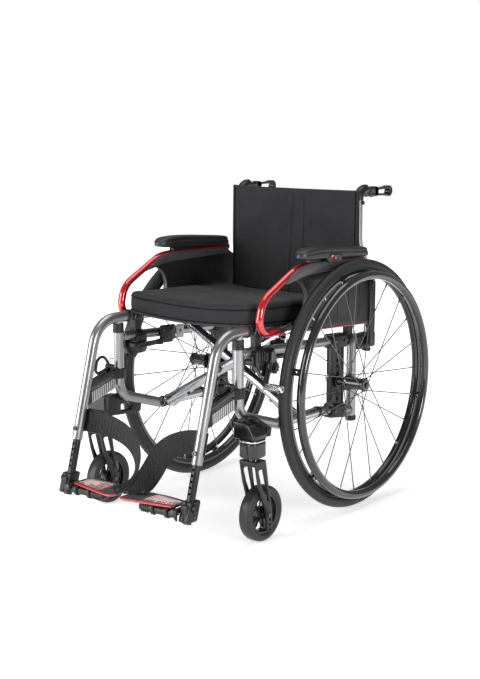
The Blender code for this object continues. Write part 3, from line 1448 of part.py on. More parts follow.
def side_guard(pivot):
    """A moulded panel with a lipped opening at the front and a leg down to the armrest's pivot."""
    under = [(p.y, p.z) for p in armrest_path() if p.z > ARMREST_LOW_Z + 0.73 * ARMREST_H]
    top = []
    for i, (y, z) in enumerate(under):
        before = under[max(i - 1, 0)]
        after = under[min(i + 1, len(under) - 1)]
        along = Vector((after[0] - before[0], after[1] - before[1])).normalized()
        top.append((y + along.y * (ARMREST_R + SEAT_GAP), z - along.x * (ARMREST_R + SEAT_GAP)))
    low_z = ARMREST_LOW_Z - ARMREST_R
    middle = (ARMREST_LOW_END + 0.048, ARMREST_LOW_Z + 0.4526 * ARMREST_H)
    opening_r = 0.3358 * ARMREST_H
    opening = arc(middle, opening_r, 80, -75, 8)
    outline = opening + [
        (ARMREST_LOW_END + 0.020, ARMREST_LOW_Z + 0.008),
        (ARMREST_LOW_END + SEAT_GAP, ARMREST_LOW_Z + 0.006),
        (ARMREST_LOW_END + SEAT_GAP, low_z),
        (ARMREST_LOW_END + 0.050, low_z),
        (GUARD_REAR_Y - 0.022, GUARD_LOW_REAR_Z),
        (ARMREST_PIVOT_Y - 0.011, ARMREST_PIVOT_Z + 0.010),
    ]
    outline += arc((ARMREST_PIVOT_Y, ARMREST_PIVOT_Z), 0.011, 200, 340, 5)
    outline += [
        (ARMREST_PIVOT_Y + 0.009, ARMREST_PIVOT_Z + 0.020),
        (GUARD_REAR_Y, GUARD_LOW_REAR_Z + 0.006),
        (GUARD_REAR_Y + 0.002, ARMREST_LOW_Z + 0.51 * ARMREST_H),
        (GUARD_REAR_Y - 0.012, ARMREST_LOW_Z + 0.78 * ARMREST_H),
        (ARMREST_REAR_END, top[-1][1]),
    ]
    outline += [p for p in reversed(top) if p[0] > opening[0][0] + 0.004]
    left = ARMREST_X - GUARD_T / 2
    panel = prism(outline, left, left + GUARD_T)
    outer = arc(middle, opening_r, 70, -70, 8)
    inner = arc(middle, opening_r + 0.003, -70, 70, 8)
    lip = prism(outer + inner, left + 0.001, left + GUARD_LIP_W)
    leg_in = FRAME_X + BLOCK_W / 2 + SEAT_GAP
    boss = rod(
        (leg_in, ARMREST_PIVOT_Y, ARMREST_PIVOT_Z),
        (left + 0.001, ARMREST_PIVOT_Y, ARMREST_PIVOT_Z),
        0.0095,
        12,
    )
    bore = hole(
        (FRAME_X, ARMREST_PIVOT_Y, ARMREST_PIVOT_Z),
        (ARMREST_X + 0.02, ARMREST_PIVOT_Y, ARMREST_PIVOT_Z),
        0.0045 + TURN_GAP,
    )
    add_pair("side_guard", cut(joined(panel, lip, boss), bore), BLACK_PLASTIC, pivot)


def arm_pad(pivot):
    """A crowned pad with a rounded nose, and the latch housing at its outer side with its push button."""
    low = ARMREST_TOP_Z + ARMREST_R + SEAT_GAP
    half = PAD_W / 2
    sections = []
    shapes = (
        (0.000, 0.55, 0.35),
        (0.012, 0.85, 0.62),
        (0.035, 0.97, 0.85),
        (0.080, 1.0, 0.98),
        (0.150, 1.0, 1.0),
        (PAD_REAR - PAD_FRONT - 0.008, 1.0, 0.94),
        (PAD_REAR - PAD_FRONT, 0.86, 0.80),
    )
    for back, wide, tall in shapes:
        section = []
        for i in range(12):
            angle = 2 * math.pi * (i + 0.5) / 12
            across = math.copysign(abs(math.cos(angle)) ** 0.55, math.cos(angle))
            upward = math.copysign(abs(math.sin(angle)) ** 0.55, math.sin(angle))
            base = low + PAD_H * (1 - tall) * 0.25
            section.append(
                (PAD_X + half * wide * across, PAD_FRONT + back, base + PAD_H * tall * (upward + 1) / 2)
            )
        sections.append(section)
    pad = loft(sections)
    flat = min(v.co.z for v in pad.vertices)
    pad.transform(Matrix.Translation((0, 0, low - flat)))
    front = PAD_BUTTON_Y - PAD_LATCH_L * 0.3
    outside = PAD_X + half + 0.003
    latch = block(
        (ARMREST_X + ARMREST_R + SLIDE_GAP, front, low - 0.006),
        (outside, front + PAD_LATCH_L, low + 0.014),
        0.003,
    )
    button_z = low + 0.003
    recess = hole(
        (outside - 0.009, PAD_BUTTON_Y, button_z),
        (outside + 0.01, PAD_BUTTON_Y, button_z),
        PAD_BUTTON_R + SLIDE_GAP,
    )
    add_pair("arm_pad", cut(joined(pad, latch), recess), BLACK_PLASTIC, pivot)
    button = rod(
        (outside - 0.0065, PAD_BUTTON_Y, button_z),
        (outside + 0.0015, PAD_BUTTON_Y, button_z),
        PAD_BUTTON_R,
        10,
    )
    add_pair("pad_button", button, RED_PLASTIC, (outside, PAD_BUTTON_Y, button_z))


clear_scene()
side_frame()
folding_cross()
seat()
back_cane()
push_handle()
back_cloth()
rear_wheel()
axle_plate()
caster()
hanger()
footrest()
brake()
armrest()
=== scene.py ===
"""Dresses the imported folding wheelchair: smooth tubes, laced wheels, sewn covers, finishes and studio.

Metres, +Z up. The chair faces -Y and +X is its occupant's left. Shapes are drawn with Y measured from the
rear axle; each left piece is drawn once and mirrored to make the right one.
"""

import math

import bmesh
import bpy
import numpy as np
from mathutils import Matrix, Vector
from mathutils.geometry import tessellate_polygon


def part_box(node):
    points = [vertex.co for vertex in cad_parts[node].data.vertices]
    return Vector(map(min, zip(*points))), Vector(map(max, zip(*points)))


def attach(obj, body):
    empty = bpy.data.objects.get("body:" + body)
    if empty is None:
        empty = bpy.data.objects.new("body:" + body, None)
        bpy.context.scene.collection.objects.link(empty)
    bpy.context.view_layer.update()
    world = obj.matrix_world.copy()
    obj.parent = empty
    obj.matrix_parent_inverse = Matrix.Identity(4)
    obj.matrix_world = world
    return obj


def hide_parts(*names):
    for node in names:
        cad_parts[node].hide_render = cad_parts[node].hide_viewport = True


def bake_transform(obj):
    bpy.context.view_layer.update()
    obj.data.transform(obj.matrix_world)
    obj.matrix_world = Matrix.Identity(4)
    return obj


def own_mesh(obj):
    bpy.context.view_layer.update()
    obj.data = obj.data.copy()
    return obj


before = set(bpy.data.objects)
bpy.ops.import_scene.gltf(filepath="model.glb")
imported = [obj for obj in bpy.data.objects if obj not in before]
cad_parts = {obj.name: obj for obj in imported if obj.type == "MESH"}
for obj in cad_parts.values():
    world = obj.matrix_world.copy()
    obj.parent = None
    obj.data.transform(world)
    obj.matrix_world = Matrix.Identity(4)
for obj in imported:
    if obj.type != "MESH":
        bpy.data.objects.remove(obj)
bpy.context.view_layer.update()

# Side frames. Each is one welded frame of round aluminium tube under a grey metallic paint: an upright that
# bends into the lower rail, a rear upright and an upper rail between them. Black caps and a collar close
# and guard it, and two black cradles on the upper rail hold the seat tube while the chair is open.
AXLE_AT = (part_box("left_tyre")[0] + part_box("left_tyre")[1]) / 2
FRAME_X = 0.180
TUBE_R = 0.011
POST_R = 0.012
UPRIGHT_Y = -0.367
UPRIGHT_TOP = 0.430
REAR_POST_Y = 0.067
PIVOT_Z = 0.231
SPIGOT_FRONT = -0.221
SPIGOT_REAR = -0.070
RAIL_AT_AXLE = 0.392
RAIL_FALL = 0.054


def rail_z(y):
    """Height of the upper rail's centre line, which falls towards the back."""
    return RAIL_AT_AXLE - RAIL_FALL * y


def seat_tube_z(y):
    """Height of the seat tube's centre line, which runs level with the upper rail's."""
    return rail_z(y) + 0.047


def unit(vectors):
    """Vectors divided by their lengths."""
    return vectors / np.linalg.norm(vectors, axis=-1, keepdims=True)


def bent(corners, radii, fine=math.radians(7)):
    """Straight runs between corners, joined at each inner one by an arc of its radius, tangent to both."""
    corners = np.asarray(corners, float)
    path = [corners[:1]]
    for before, here, after, radius in zip(corners, corners[1:], corners[2:], radii):
        back, ahead = unit(before - here), unit(after - here)
        turn = math.pi - math.acos(np.clip(back @ ahead, -1, 1))
        if turn < 0.01 or radius == 0:
            path.append(here[None])
            continue
        centre = here + unit(back + ahead) * radius / math.cos(turn / 2)
        start = here + back * radius * math.tan(turn / 2) - centre
        normal = unit(np.cross(start, here + ahead * radius * math.tan(turn / 2) - centre))
        angle = np.linspace(0, turn, max(3, round(turn / fine) + 1))[:, None]
        path.append(centre + start * np.cos(angle) + np.cross(normal, start) * np.sin(angle))
    path.append(corners[-1:])
    return np.concatenate(path)


def in_plane(x, points):
    """Points of the side view, each (Y, Z), set at one X."""
    points = np.asarray(points, float)
    return np.column_stack([np.full(len(points), x), points])


def skin(grid, loop=False, mark=0, caps=True):
    """Quads over closed rings of points, from each to the next; the ends are capped unless they loop."""
    rows, columns = grid.shape[:2]
    i = np.arange(rows if loop else rows - 1)[:, None]
    j = np.arange(columns)[None]
    ahead, beside = (i + 1) % rows, (j + 1) % columns
    corners = [i * columns + j, i * columns + beside, ahead * columns + beside, ahead * columns + j]
    faces = np.stack(corners, -1).reshape(-1, 4).tolist()
    if caps and not loop:
        faces += [list(range(columns)), list(range((rows - 1) * columns, rows * columns))]
    return grid.reshape(-1, 3), faces, mark


def carried(path, ring, side=(1, 0, 0), loop=False, mark=0):
    """Carries a ring of (across, upward) offsets along a path; across leans to side, square to the path."""
    path = np.asarray(path, float)
    step = np.roll(path, -1, 0) - np.roll(path, 1, 0) if loop else np.gradient(path, axis=0)
    ahead = unit(step)
    across = np.broadcast_to(np.asarray(side, float), path.shape)
    across = unit(across - ahead * (across * ahead).sum(1, keepdims=True))
    upward = np.cross(ahead, across)
    ring = np.asarray(ring, float)
    ring = np.broadcast_to(ring, (len(path), *ring.shape[-2:]))
    grid = path[:, None] + across[:, None] * ring[..., :1] + upward[:, None] * ring[..., 1:]
    return skin(grid, loop, mark)


def circle(sides):
    """Points at even angles round a circle of radius one."""
    turn = np.linspace(0, 2 * math.pi, sides, endpoint=False)
    return np.column_stack([np.cos(turn), np.sin(turn)])


def tube(path, radius, sides=28, side=(1, 0, 0), loop=False, mark=0):
    """A round tube along a path, its sides spaced evenly; it has one radius, or one for each point."""
    radius = np.broadcast_to(radius, len(path))[:, None, None]
    return carried(path, circle(sides) * radius, side, loop, mark)


def turned(profile, origin, axis=(1, 0, 0), sides=32, mark=0, closed=False):
    """Turns a profile of (distance along the axis, radius) about an axis through origin."""
    axis = unit(np.asarray(axis, float))
    helper = np.array([0.0, 0.0, 1.0]) if abs(axis[2]) < 0.9 else np.array([0.0, 1.0, 0.0])
    first = unit(np.cross(axis, helper))
    spread = circle(sides) @ np.stack([first, np.cross(axis, first)])
    profile = np.asarray(profile, float)
    grid = np.asarray(origin, float) + profile[:, :1, None] * axis + profile[:, 1:, None] * spread
    return skin(grid, closed, mark)


def rod(start, end, radius, edge=0.0008, sides=28, mark=0):
    """A straight round bar whose two rims are rounded by edge."""
    start, end = np.asarray(start, float), np.asarray(end, float)
    length = np.linalg.norm(end - start)
    turn = np.linspace(0, math.pi / 2, 4)
    rim = np.column_stack([edge * (1 - np.cos(turn)), radius - edge * (1 - np.sin(turn))])
    profile = np.concatenate([rim, (rim * (-1, 1) + (length, 0))[::-1]])
    return turned(profile, start, end - start, sides, mark)


def plate(outline, low, high, edge=0.0008, holes=(), along=0, mark=0, steps=3):
    """An outline, less its holes, pulled from low to high along one axis, with every rim rounded by edge."""
    turn = np.linspace(0, math.pi / 2, steps)
    inset = edge * (1 - np.sin(turn))
    rise = edge * (1 - np.cos(turn))
    levels = np.concatenate([low + rise, (high - rise)[::-1]])
    insets = np.concatenate([inset, inset[::-1]])
    points, faces, first, last, count = [], [], [], [], 0
    for order, ring in enumerate((outline, *holes)):
        ring = np.asarray(ring, float)
        area = np.sum(ring[:, 0] * np.roll(ring[:, 1], -1) - np.roll(ring[:, 0], -1) * ring[:, 1])
        ring = ring[::-1] if (area > 0) == (order > 0) else ring
        ahead = unit(np.roll(ring, -1, 0) - ring)
        inward = np.column_stack([-ahead[:, 1], ahead[:, 0]])
        mitre = inward + np.roll(inward, 1, 0)
        mitre = mitre / np.maximum((mitre**2).sum(1, keepdims=True) / 2, 0.4)
        flat = ring + insets[:, None, None] * mitre
        wall, quads, _ = skin(np.insert(flat, along, levels[:, None], axis=2), caps=False)
        points.append(wall)
        faces += (np.array(quads) + count).tolist()
        first += [(point, count + i) for i, point in enumerate(flat[0])]
        last += [count + len(wall) - len(ring) + i for i in range(len(ring))]
        count += len(wall)
    sizes = [len(ring) for ring in (outline, *holes)]
    starts = np.concatenate([[0], np.cumsum(sizes)])
    rings = [[Vector((*point, 0)) for point, _ in first[a:b]] for a, b in zip(starts, starts[1:])]
    for corners in tessellate_polygon(rings):
        faces.append([first[k][1] for k in corners])
        faces.append([last[k] for k in reversed(corners)])
    return np.concatenate(points), faces, mark


def loop_of(corners, radius, fine=math.radians(15)):
    """A closed outline whose corners are rounded, by one radius or by one for each corner."""
    corners = np.asarray(corners, float)
    flat = np.column_stack([corners, np.zeros(len(corners))])
    ring = np.concatenate([flat[-1:], flat, flat[:1]])
    return bent(ring, np.broadcast_to(radius, len(corners)), fine)[1:-1, :2]


def rectangle(low, high):
    """The four corners of an upright rectangle, from its lowest corner round."""
    return [low, (high[0], low[1]), high, (low[0], high[1])]


def box(low, high, edge=0.001, mark=0):
    """A block between two corners with rounded edges."""
    return plate(loop_of(rectangle(low[1:], high[1:]), edge * 1.5), low[0], high[0], edge, mark=mark)


def arc(centre, radius, start, end, steps=10):
    """Points on an arc, its angles in degrees."""
    turn = np.radians(np.linspace(start, end, steps + 1))
    return np.asarray(centre, float) + np.column_stack([np.cos(turn), np.sin(turn)]) * radius


def round_hole(centre, radius, sides=24):
    """A closed round outline, its points at even angles."""
    return arc(centre, radius, 0, 360 - 360 / sides, sides - 1)


def bush(start, end, bore, radius, edge, drop):
    """The profile of a sleeve whose rims are bevelled: edge along the axis, drop in radius."""
    rims = [(start, radius - drop), (start + edge, radius), (end - edge, radius), (end, radius - drop)]
    return [(start, bore), *rims, (end, bore)]


def piece(name, shells, finishes, body, replaced=(), sharp=0.6):
    """One object from closed shells, each with its finish's number; it may ride a body and replace nodes."""
    points = np.concatenate([shell[0] for shell in shells]) + (0, AXLE_AT.y, 0)
    starts = np.cumsum([0] + [len(shell[0]) for shell in shells])
    faces = [[start + k for k in face] for shell, start in zip(shells, starts) for face in shell[1]]
    mesh = bpy.data.meshes.new(name)
    mesh.from_pydata(points, [], faces)
    marks = np.repeat([shell[2] for shell in shells], [len(shell[1]) for shell in shells])
    mesh.polygons.foreach_set("material_index", marks)
    bm = bmesh.new()
    bm.from_mesh(mesh)
    bmesh.ops.remove_doubles(bm, verts=bm.verts, dist=2e-6)
    bmesh.ops.recalc_face_normals(bm, faces=bm.faces)
    bm.to_mesh(mesh)
    bm.free()
    for finish in finishes:
        mesh.materials.append(finish)
    mesh.shade_smooth()
    mesh.set_sharp_from_angle(angle=sharp)
    made = bpy.data.objects.new(name, mesh)
    bpy.context.collection.objects.link(made)
    if body:
        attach(made, body)
    if replaced:
        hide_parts(*replaced)
    return made


def both(name, shells, finishes, body, replaced=(), sharp=0.6):
    """The left piece as drawn and the right piece as its mirror image."""
    made = []
    for side, sign in (("left", 1), ("right", -1)):
        facing = [(points * (sign, 1, 1), faces, mark) for points, faces, mark in shells]
        nodes = [f"{side}_{node}" for node in replaced]
        rides_on = f"{side}_{body}" if body else None
        made.append(piece(f"{side}_{name}", facing, finishes, rides_on, nodes, sharp))
    return made


def add_node(tree, kind, inputs=None, **settings):
    """A shader node with its settings, and its sockets given a value or a link."""
    made = tree.nodes.new(kind)
    for key, value in settings.items():
        setattr(made, key, value)
    for socket, value in (inputs or {}).items():
        if isinstance(value, bpy.types.NodeSocket):
            tree.links.new(value, made.inputs[socket])
        else:
            made.inputs[socket].default_value = value
    return made


def surface(
    name, colour, rough, metal=0.0, vary=0.12, grain=700.0, bump=0.05, patch=18.0, deep=0.0004,
    **sockets,
):
    """A finish: colour and gloss drift over patches, and a fine grain breaks up the colour and the light.

    rough is the lowest and highest roughness, grain and patch count per metre, deep is the grain's height.
    """
    material = bpy.data.materials.new(name)
    material.use_nodes = True
    tree = material.node_tree
    shader = tree.nodes["Principled BSDF"]
    place = tree.nodes.new("ShaderNodeTexCoord").outputs["Object"]
    fine = add_node(tree, "ShaderNodeTexNoise", {"Vector": place, "Scale": grain, "Detail": 3.0})
    wide = add_node(
        tree, "ShaderNodeTexNoise", {"Vector": place, "Scale": patch, "Detail": 4.0, "Roughness": 0.6},
    )
    both_noises = add_node(
        tree, "ShaderNodeMath", {0: fine.outputs[0], 1: wide.outputs[0]}, operation="ADD",
    )
    share = add_node(tree, "ShaderNodeMapRange", {0: both_noises.outputs[0], 1: 0.7, 2: 1.3})
    dark = tuple(c * (1 - vary) for c in colour)
    light = tuple(min(1.0, c * (1 + vary) + 0.02 * vary) for c in colour)
    mixed = add_node(
        tree, "ShaderNodeMix", {0: share.outputs[0], 6: (*dark, 1), 7: (*light, 1)}, data_type="RGBA",
    )
    gloss = add_node(
        tree, "ShaderNodeMapRange", {0: wide.outputs[0], 1: 0.35, 2: 0.65, 3: rough[0], 4: rough[1]},
    )
    lumps = add_node(
        tree, "ShaderNodeBump", {"Height": fine.outputs[0], "Strength": bump, "Distance": deep},
    )
    tree.links.new(mixed.outputs[2], shader.inputs["Base Color"])
    tree.links.new(gloss.outputs[0], shader.inputs["Roughness"])
    tree.links.new(lumps.outputs[0], shader.inputs["Normal"])
    shader.inputs["Metallic"].default_value = metal
    for socket, value in sockets.items():
        shader.inputs[socket.replace("_", " ")].default_value = value
    return material


frame_paint = surface(
    "frame_paint", (0.31, 0.31, 0.315), (0.27, 0.35), 0.92, 0.10, 2600, 0.06, 12, 0.0002, Coat_Weight=0.25,
)
black_plastic = surface(
    "black_plastic", (0.009, 0.009, 0.010), (0.36, 0.48), 0.0, 0.25, 1500, 0.10, Specular_IOR_Level=0.4,
)
black_gloss = surface(
    "black_gloss", (0.006, 0.006, 0.007), (0.16, 0.26), 0.0, 0.2, 900, 0.03, Coat_Weight=0.2,
)
black_anodised = surface("black_anodised", (0.030, 0.030, 0.033), (0.28, 0.38), 0.75, 0.2, 1800, 0.05)
bolt_steel = surface("bolt_steel", (0.10, 0.10, 0.105), (0.25, 0.40), 0.9, 0.2, 1200, 0.08)
bright_metal = surface("bright_metal", (0.62, 0.62, 0.61), (0.20, 0.32), 1.0, 0.08, 1400, 0.05)

frame_front = in_plane(
    FRAME_X,
    [(UPRIGHT_Y, UPRIGHT_TOP), (UPRIGHT_Y, 0.274), (SPIGOT_FRONT - 0.007, PIVOT_Z), (SPIGOT_FRONT, PIVOT_Z)],
)
frame_rear = in_plane(
    FRAME_X, [(SPIGOT_REAR, PIVOT_Z), (SPIGOT_REAR + 0.012, PIVOT_Z), (REAR_POST_Y, 0.212)],
)


def at(y, z, x=FRAME_X):
    """A place given by its side view, in the frame's plane unless x says otherwise."""
    return np.array([x, y, z], float)


def pin(y, z, low, high, radius, edge=0.0008, sides=28, mark=0):
    """A rod from side to side, at one place in the side view."""
    return rod((low, y, z), (high, y, z), radius, edge, sides, mark)


def weld(centre, axis, radius, thick=0.0013):
    """A rippled bead laid round the joint of two tubes."""
    bead = turned(circle(8) * thick + (0, radius), centre, axis, 72, closed=True)
    points = bead[0].reshape(8, 72, 3)
    ripple = 1 + 0.012 * np.cos(np.linspace(0, 2 * math.pi, 72, endpoint=False) * 18)[None, :, None]
    return ((points - centre) * ripple + centre).reshape(-1, 3), bead[1], 0


def cradle(y):
    """An open hook of black plastic that clips on the upper rail and takes the seat tube from above."""
    low, rest, bore = rail_z(y), seat_tube_z(y), 0.0103
    lip = arc((FRAME_X, rest), bore, 180, 360, 14)
    outer = arc((FRAME_X, rest), bore + 0.005, 350, 300, 5)
    foot = arc((FRAME_X, low), TUBE_R + 0.0035, 60, -240, 22)
    inner = arc((FRAME_X, rest), bore + 0.005, 240, 180, 5)
    tip, heel = (FRAME_X + bore + 0.0045, rest + 0.004), (FRAME_X - bore - 0.0045, rest + 0.002)
    hook = np.concatenate([lip, [tip], outer, foot, inner, [heel]])
    rail_hole = round_hole((FRAME_X, low), TUBE_R + 0.0002)
    return plate(hook, y - 0.011, y + 0.011, 0.0012, holes=[rail_hole], along=1, mark=1)


side_frame = [
    tube(bent(frame_front, (0.042, 0.020)), POST_R),
    tube(bent(frame_rear, (0.040,)), TUBE_R),
    rod(at(SPIGOT_FRONT - TUBE_R, PIVOT_Z), at(SPIGOT_REAR + TUBE_R, PIVOT_Z), 0.0075, mark=2),
    rod(at(REAR_POST_Y, 0.193), at(REAR_POST_Y, rail_z(REAR_POST_Y) + 0.0035), POST_R),
    rod(at(REAR_POST_Y, 0.186), at(REAR_POST_Y, 0.200), POST_R + 0.0012, 0.003, mark=1),
    rod(at(UPRIGHT_Y, rail_z(UPRIGHT_Y)), at(0.090, rail_z(0.090)), TUBE_R),
    rod(at(0.088, rail_z(0.088)), at(0.094, rail_z(0.094)), TUBE_R - 0.0006, 0.002, mark=1),
    rod(at(UPRIGHT_Y, 0.3135), at(UPRIGHT_Y, 0.3375), 0.0146, 0.002, mark=1),
    rod(at(UPRIGHT_Y, 0.4215), at(UPRIGHT_Y, 0.4298), POST_R + 0.0012, 0.001, mark=1),
    weld(at(UPRIGHT_Y + POST_R, rail_z(UPRIGHT_Y + POST_R)), (0, 1, -RAIL_FALL), TUBE_R + 0.0006),
    weld(at(REAR_POST_Y - POST_R, rail_z(REAR_POST_Y - POST_R)), (0, 1, -RAIL_FALL), TUBE_R + 0.0006),
    weld(at(REAR_POST_Y - POST_R, 0.2142), (0, 1, -0.15), TUBE_R + 0.0006),
    pin(SPIGOT_FRONT - 0.010, PIVOT_Z, 0.166, 0.194, 0.0062, 0.0015, mark=1),
    pin(-0.047, 0.2292, 0.168, 0.1925, 0.0045, 0.001, mark=1),
    cradle(-0.306),
    cradle(0.050),
]
both("frame_tubes", side_frame, [frame_paint, black_plastic, bolt_steel], "frame", ["side_frame"])

# Folding cross. Two bright aluminium arms cross on one bolt; each has a bearing sleeve along the lower rail
# at its foot, a gusset plate welded under it, and the opposite seat tube welded on its top.
ARM_R = 0.0115
ARM_FRONT_Y = -0.207
ARM_REAR_Y = -0.147
SEAT_TUBE_R = 0.010
ARM_TOP = seat_tube_z((ARM_FRONT_Y + ARM_REAR_Y) / 2) - 0.0135
CROSS_Z = (PIVOT_Z + ARM_TOP) / 2

arm_metal = surface("arm_metal", (0.52, 0.53, 0.55), (0.20, 0.30), 1.0, 0.06, 1600, 0.05, 14, 0.0002)


def cross_arm(y):
    """An arm drawn for the one that turns on the right rail and carries the left seat tube."""
    foot, head = at(y, PIVOT_Z, -FRAME_X), at(y, ARM_TOP)
    slope = (ARM_TOP - PIVOT_Z) / (2 * FRAME_X)
    bore = 0.0079
    sleeve = bush(0, 0.149, bore, 0.0122, 0.0015, 0.0017)
    collar = bush(0, 0.009, bore, 0.0138, 0.001, 0.0007)
    collars = [
        turned(collar, at(start, PIVOT_Z, -FRAME_X), (0, 1, 0), 32, 1, True)
        for start in (SPIGOT_FRONT + 0.0006, SPIGOT_REAR - 0.0096)
    ]
    gusset = [
        (-FRAME_X + 0.004, PIVOT_Z - 0.0105), (-FRAME_X + 0.030, PIVOT_Z - 0.0095),
        (-FRAME_X + 0.118, PIVOT_Z + slope * 0.118 - 0.008), (-FRAME_X + 0.100, PIVOT_Z + slope * 0.100),
        (-FRAME_X, PIVOT_Z),
    ]
    rivet = (-FRAME_X + 0.078, y, PIVOT_Z + slope * 0.078 - 0.0135)
    tube_ends = [at(end, seat_tube_z(end)) for end in (-0.318, 0.0600)]
    along = unit(tube_ends[1] - tube_ends[0])
    return [
        turned(sleeve, at(SPIGOT_FRONT + 0.0006, PIVOT_Z, -FRAME_X), (0, 1, 0), 36, 0, True),
        *collars,
        rod(foot + (0.006, 0, 0.0035), head - (0.004, 0, 0.0022), ARM_R),
        plate(loop_of(gusset, 0.004), y - 0.0022, y + 0.0022, 0.0006, along=1),
        turned(bush(-0.0052, 0.0052, 0.0001, 0.0048, 0.0017, 0.0018), rivet, (0, 1, 0), 18, 2),
        rod(tube_ends[0], tube_ends[1], SEAT_TUBE_R),
        rod(tube_ends[0] - along * 0.002, tube_ends[0] + along * 0.004, SEAT_TUBE_R - 0.0004, 0.002, mark=1),
        rod(tube_ends[1] - along * 0.004, tube_ends[1] + along * 0.002, SEAT_TUBE_R - 0.0004, 0.002, mark=1),
        weld(head - (0.0035, 0, 0.0020), (1, 0, slope), ARM_R + 0.0004),
        weld(foot + (0.0115, 0, 0.0066), (1, 0, slope), ARM_R + 0.0004),
    ]


arm_finishes = [arm_metal, black_plastic, bolt_steel]
piece(
    "cross_arm_front_tube", cross_arm(ARM_FRONT_Y), arm_finishes, "front_arm", ["cross_arm_front"],
)
turned_arm = [(points * (-1, 1, 1), faces, mark) for points, faces, mark in cross_arm(ARM_REAR_Y)]
piece("cross_arm_rear_tube", turned_arm, arm_finishes, "rear_arm", ["cross_arm_rear"])
bolt_profile = [
    (0, 0.0001), (0, 0.0075), (0.0012, 0.0092), (0.0060, 0.0092), (0.0062, 0.0050), (0.0288, 0.0050),
    (0.0290, 0.0090), (0.0662, 0.0090), (0.0664, 0.0050), (0.0888, 0.0050), (0.0890, 0.0092),
    (0.0938, 0.0092), (0.0950, 0.0075), (0.0950, 0.0001),
]
cross_bolt = turned(bolt_profile, (0, ARM_FRONT_Y - 0.0175, CROSS_Z), (0, 1, 0), 32)
piece("cross_bolt_turned", [cross_bolt], [bolt_steel], "rear_arm", ["cross_bolt"])

# Seat. A sling of black nylon with a thick dark hem, pulled over the two seat tubes, and on it a foam
# cushion in a woven cover: boxed sides, a piped seam all round the top edge and a second one round the
# foot. The piping is near black, darker than the cover, as painted shade in the seams.
SLING_HALF = 0.189
SLING_FRONT = -0.332
SLING_REAR = 0.0595
SAG = 0.010
CUSHION_H = 0.043
CUSHION_LIFT = 0.0035


def sling_z(x, y):
    """The sling lies on both tubes and hangs between them in a parabola."""
    return seat_tube_z(y) + SEAT_TUBE_R + 0.0003 - SAG * (1 - np.clip(np.abs(x) / FRAME_X, 0, 1) ** 2)


def woven(name, colour, pitch, rough, sheen, bump=0.5, deep=0.0003, twill=False, worn=0.3):
    """A cloth: two crossed sine waves lift its threads, and a noise makes the yarn uneven.

    pitch is the distance between threads. The pattern is tipped about every axis, so it shows on all sides.
    """
    material = bpy.data.materials.new(name)
    material.use_nodes = True
    tree = material.node_tree
    shader = tree.nodes["Principled BSDF"]
    place = tree.nodes.new("ShaderNodeTexCoord").outputs["Object"]
    lean = 0.6 if twill else 0.0
    tipped = add_node(tree, "ShaderNodeMapping", {"Vector": place, "Rotation": (0.35, 0.2, lean)})
    scale = 1 / (pitch * 20) * math.pi
    threaded = {
        "Vector": tipped.outputs[0], "Scale": scale, "Distortion": 0.6, "Detail": 1.0, "Detail Scale": 4.0,
    }
    waves = [
        add_node(tree, "ShaderNodeTexWave", threaded, wave_type="BANDS", bands_direction=direction)
        for direction in ("X", "Y")
    ]
    threads = add_node(
        tree, "ShaderNodeMath", {0: waves[0].outputs["Fac"], 1: waves[1].outputs["Fac"]},
        operation="MULTIPLY",
    )
    yarn = add_node(tree, "ShaderNodeTexNoise", {"Vector": place, "Scale": 0.6 / pitch, "Detail": 4.0})
    wide = add_node(
        tree, "ShaderNodeTexNoise", {"Vector": place, "Scale": 14.0, "Detail": 5.0, "Roughness": 0.65},
    )
    height = add_node(tree, "ShaderNodeMath", {0: threads.outputs[0], 1: yarn.outputs[0]}, operation="ADD")
    tone = add_node(tree, "ShaderNodeMath", {0: yarn.outputs[0], 1: wide.outputs[0]}, operation="ADD")
    share = add_node(tree, "ShaderNodeMapRange", {0: tone.outputs[0], 1: 0.65, 2: 1.35})
    dark, light = (tuple(c * (1 + sign * worn) for c in colour) for sign in (-1, 1))
    mixed = add_node(
        tree, "ShaderNodeMix", {0: share.outputs[0], 6: (*dark, 1), 7: (*light, 1)}, data_type="RGBA",
    )
    lumps = add_node(
        tree, "ShaderNodeBump", {"Height": height.outputs[0], "Strength": bump, "Distance": deep},
    )
    tree.links.new(mixed.outputs[2], shader.inputs["Base Color"])
    tree.links.new(lumps.outputs[0], shader.inputs["Normal"])
    shader.inputs["Roughness"].default_value = rough
    shader.inputs["Sheen Weight"].default_value = sheen
    shader.inputs["Sheen Roughness"].default_value = 0.45
    shader.inputs["Specular IOR Level"].default_value = 0.25
    return material


cover_cloth = woven("cover_cloth", (0.016, 0.0164, 0.0180), 0.0012, 0.82, 0.05)
sling_cloth = woven("sling_cloth", (0.010, 0.010, 0.011), 0.0014, 0.75, 0.04, 0.6)
# Real piping, coloured near black with no sheen as painted shade in the seam grooves.
piping_painted_shade = woven("piping_painted_shade", (0.003, 0.003, 0.0035), 0.0010, 0.95, 0.0, 0.6)
hem_tape = woven("hem_tape", (0.022, 0.022, 0.024), 0.0016, 0.70, 0.06, 0.7)

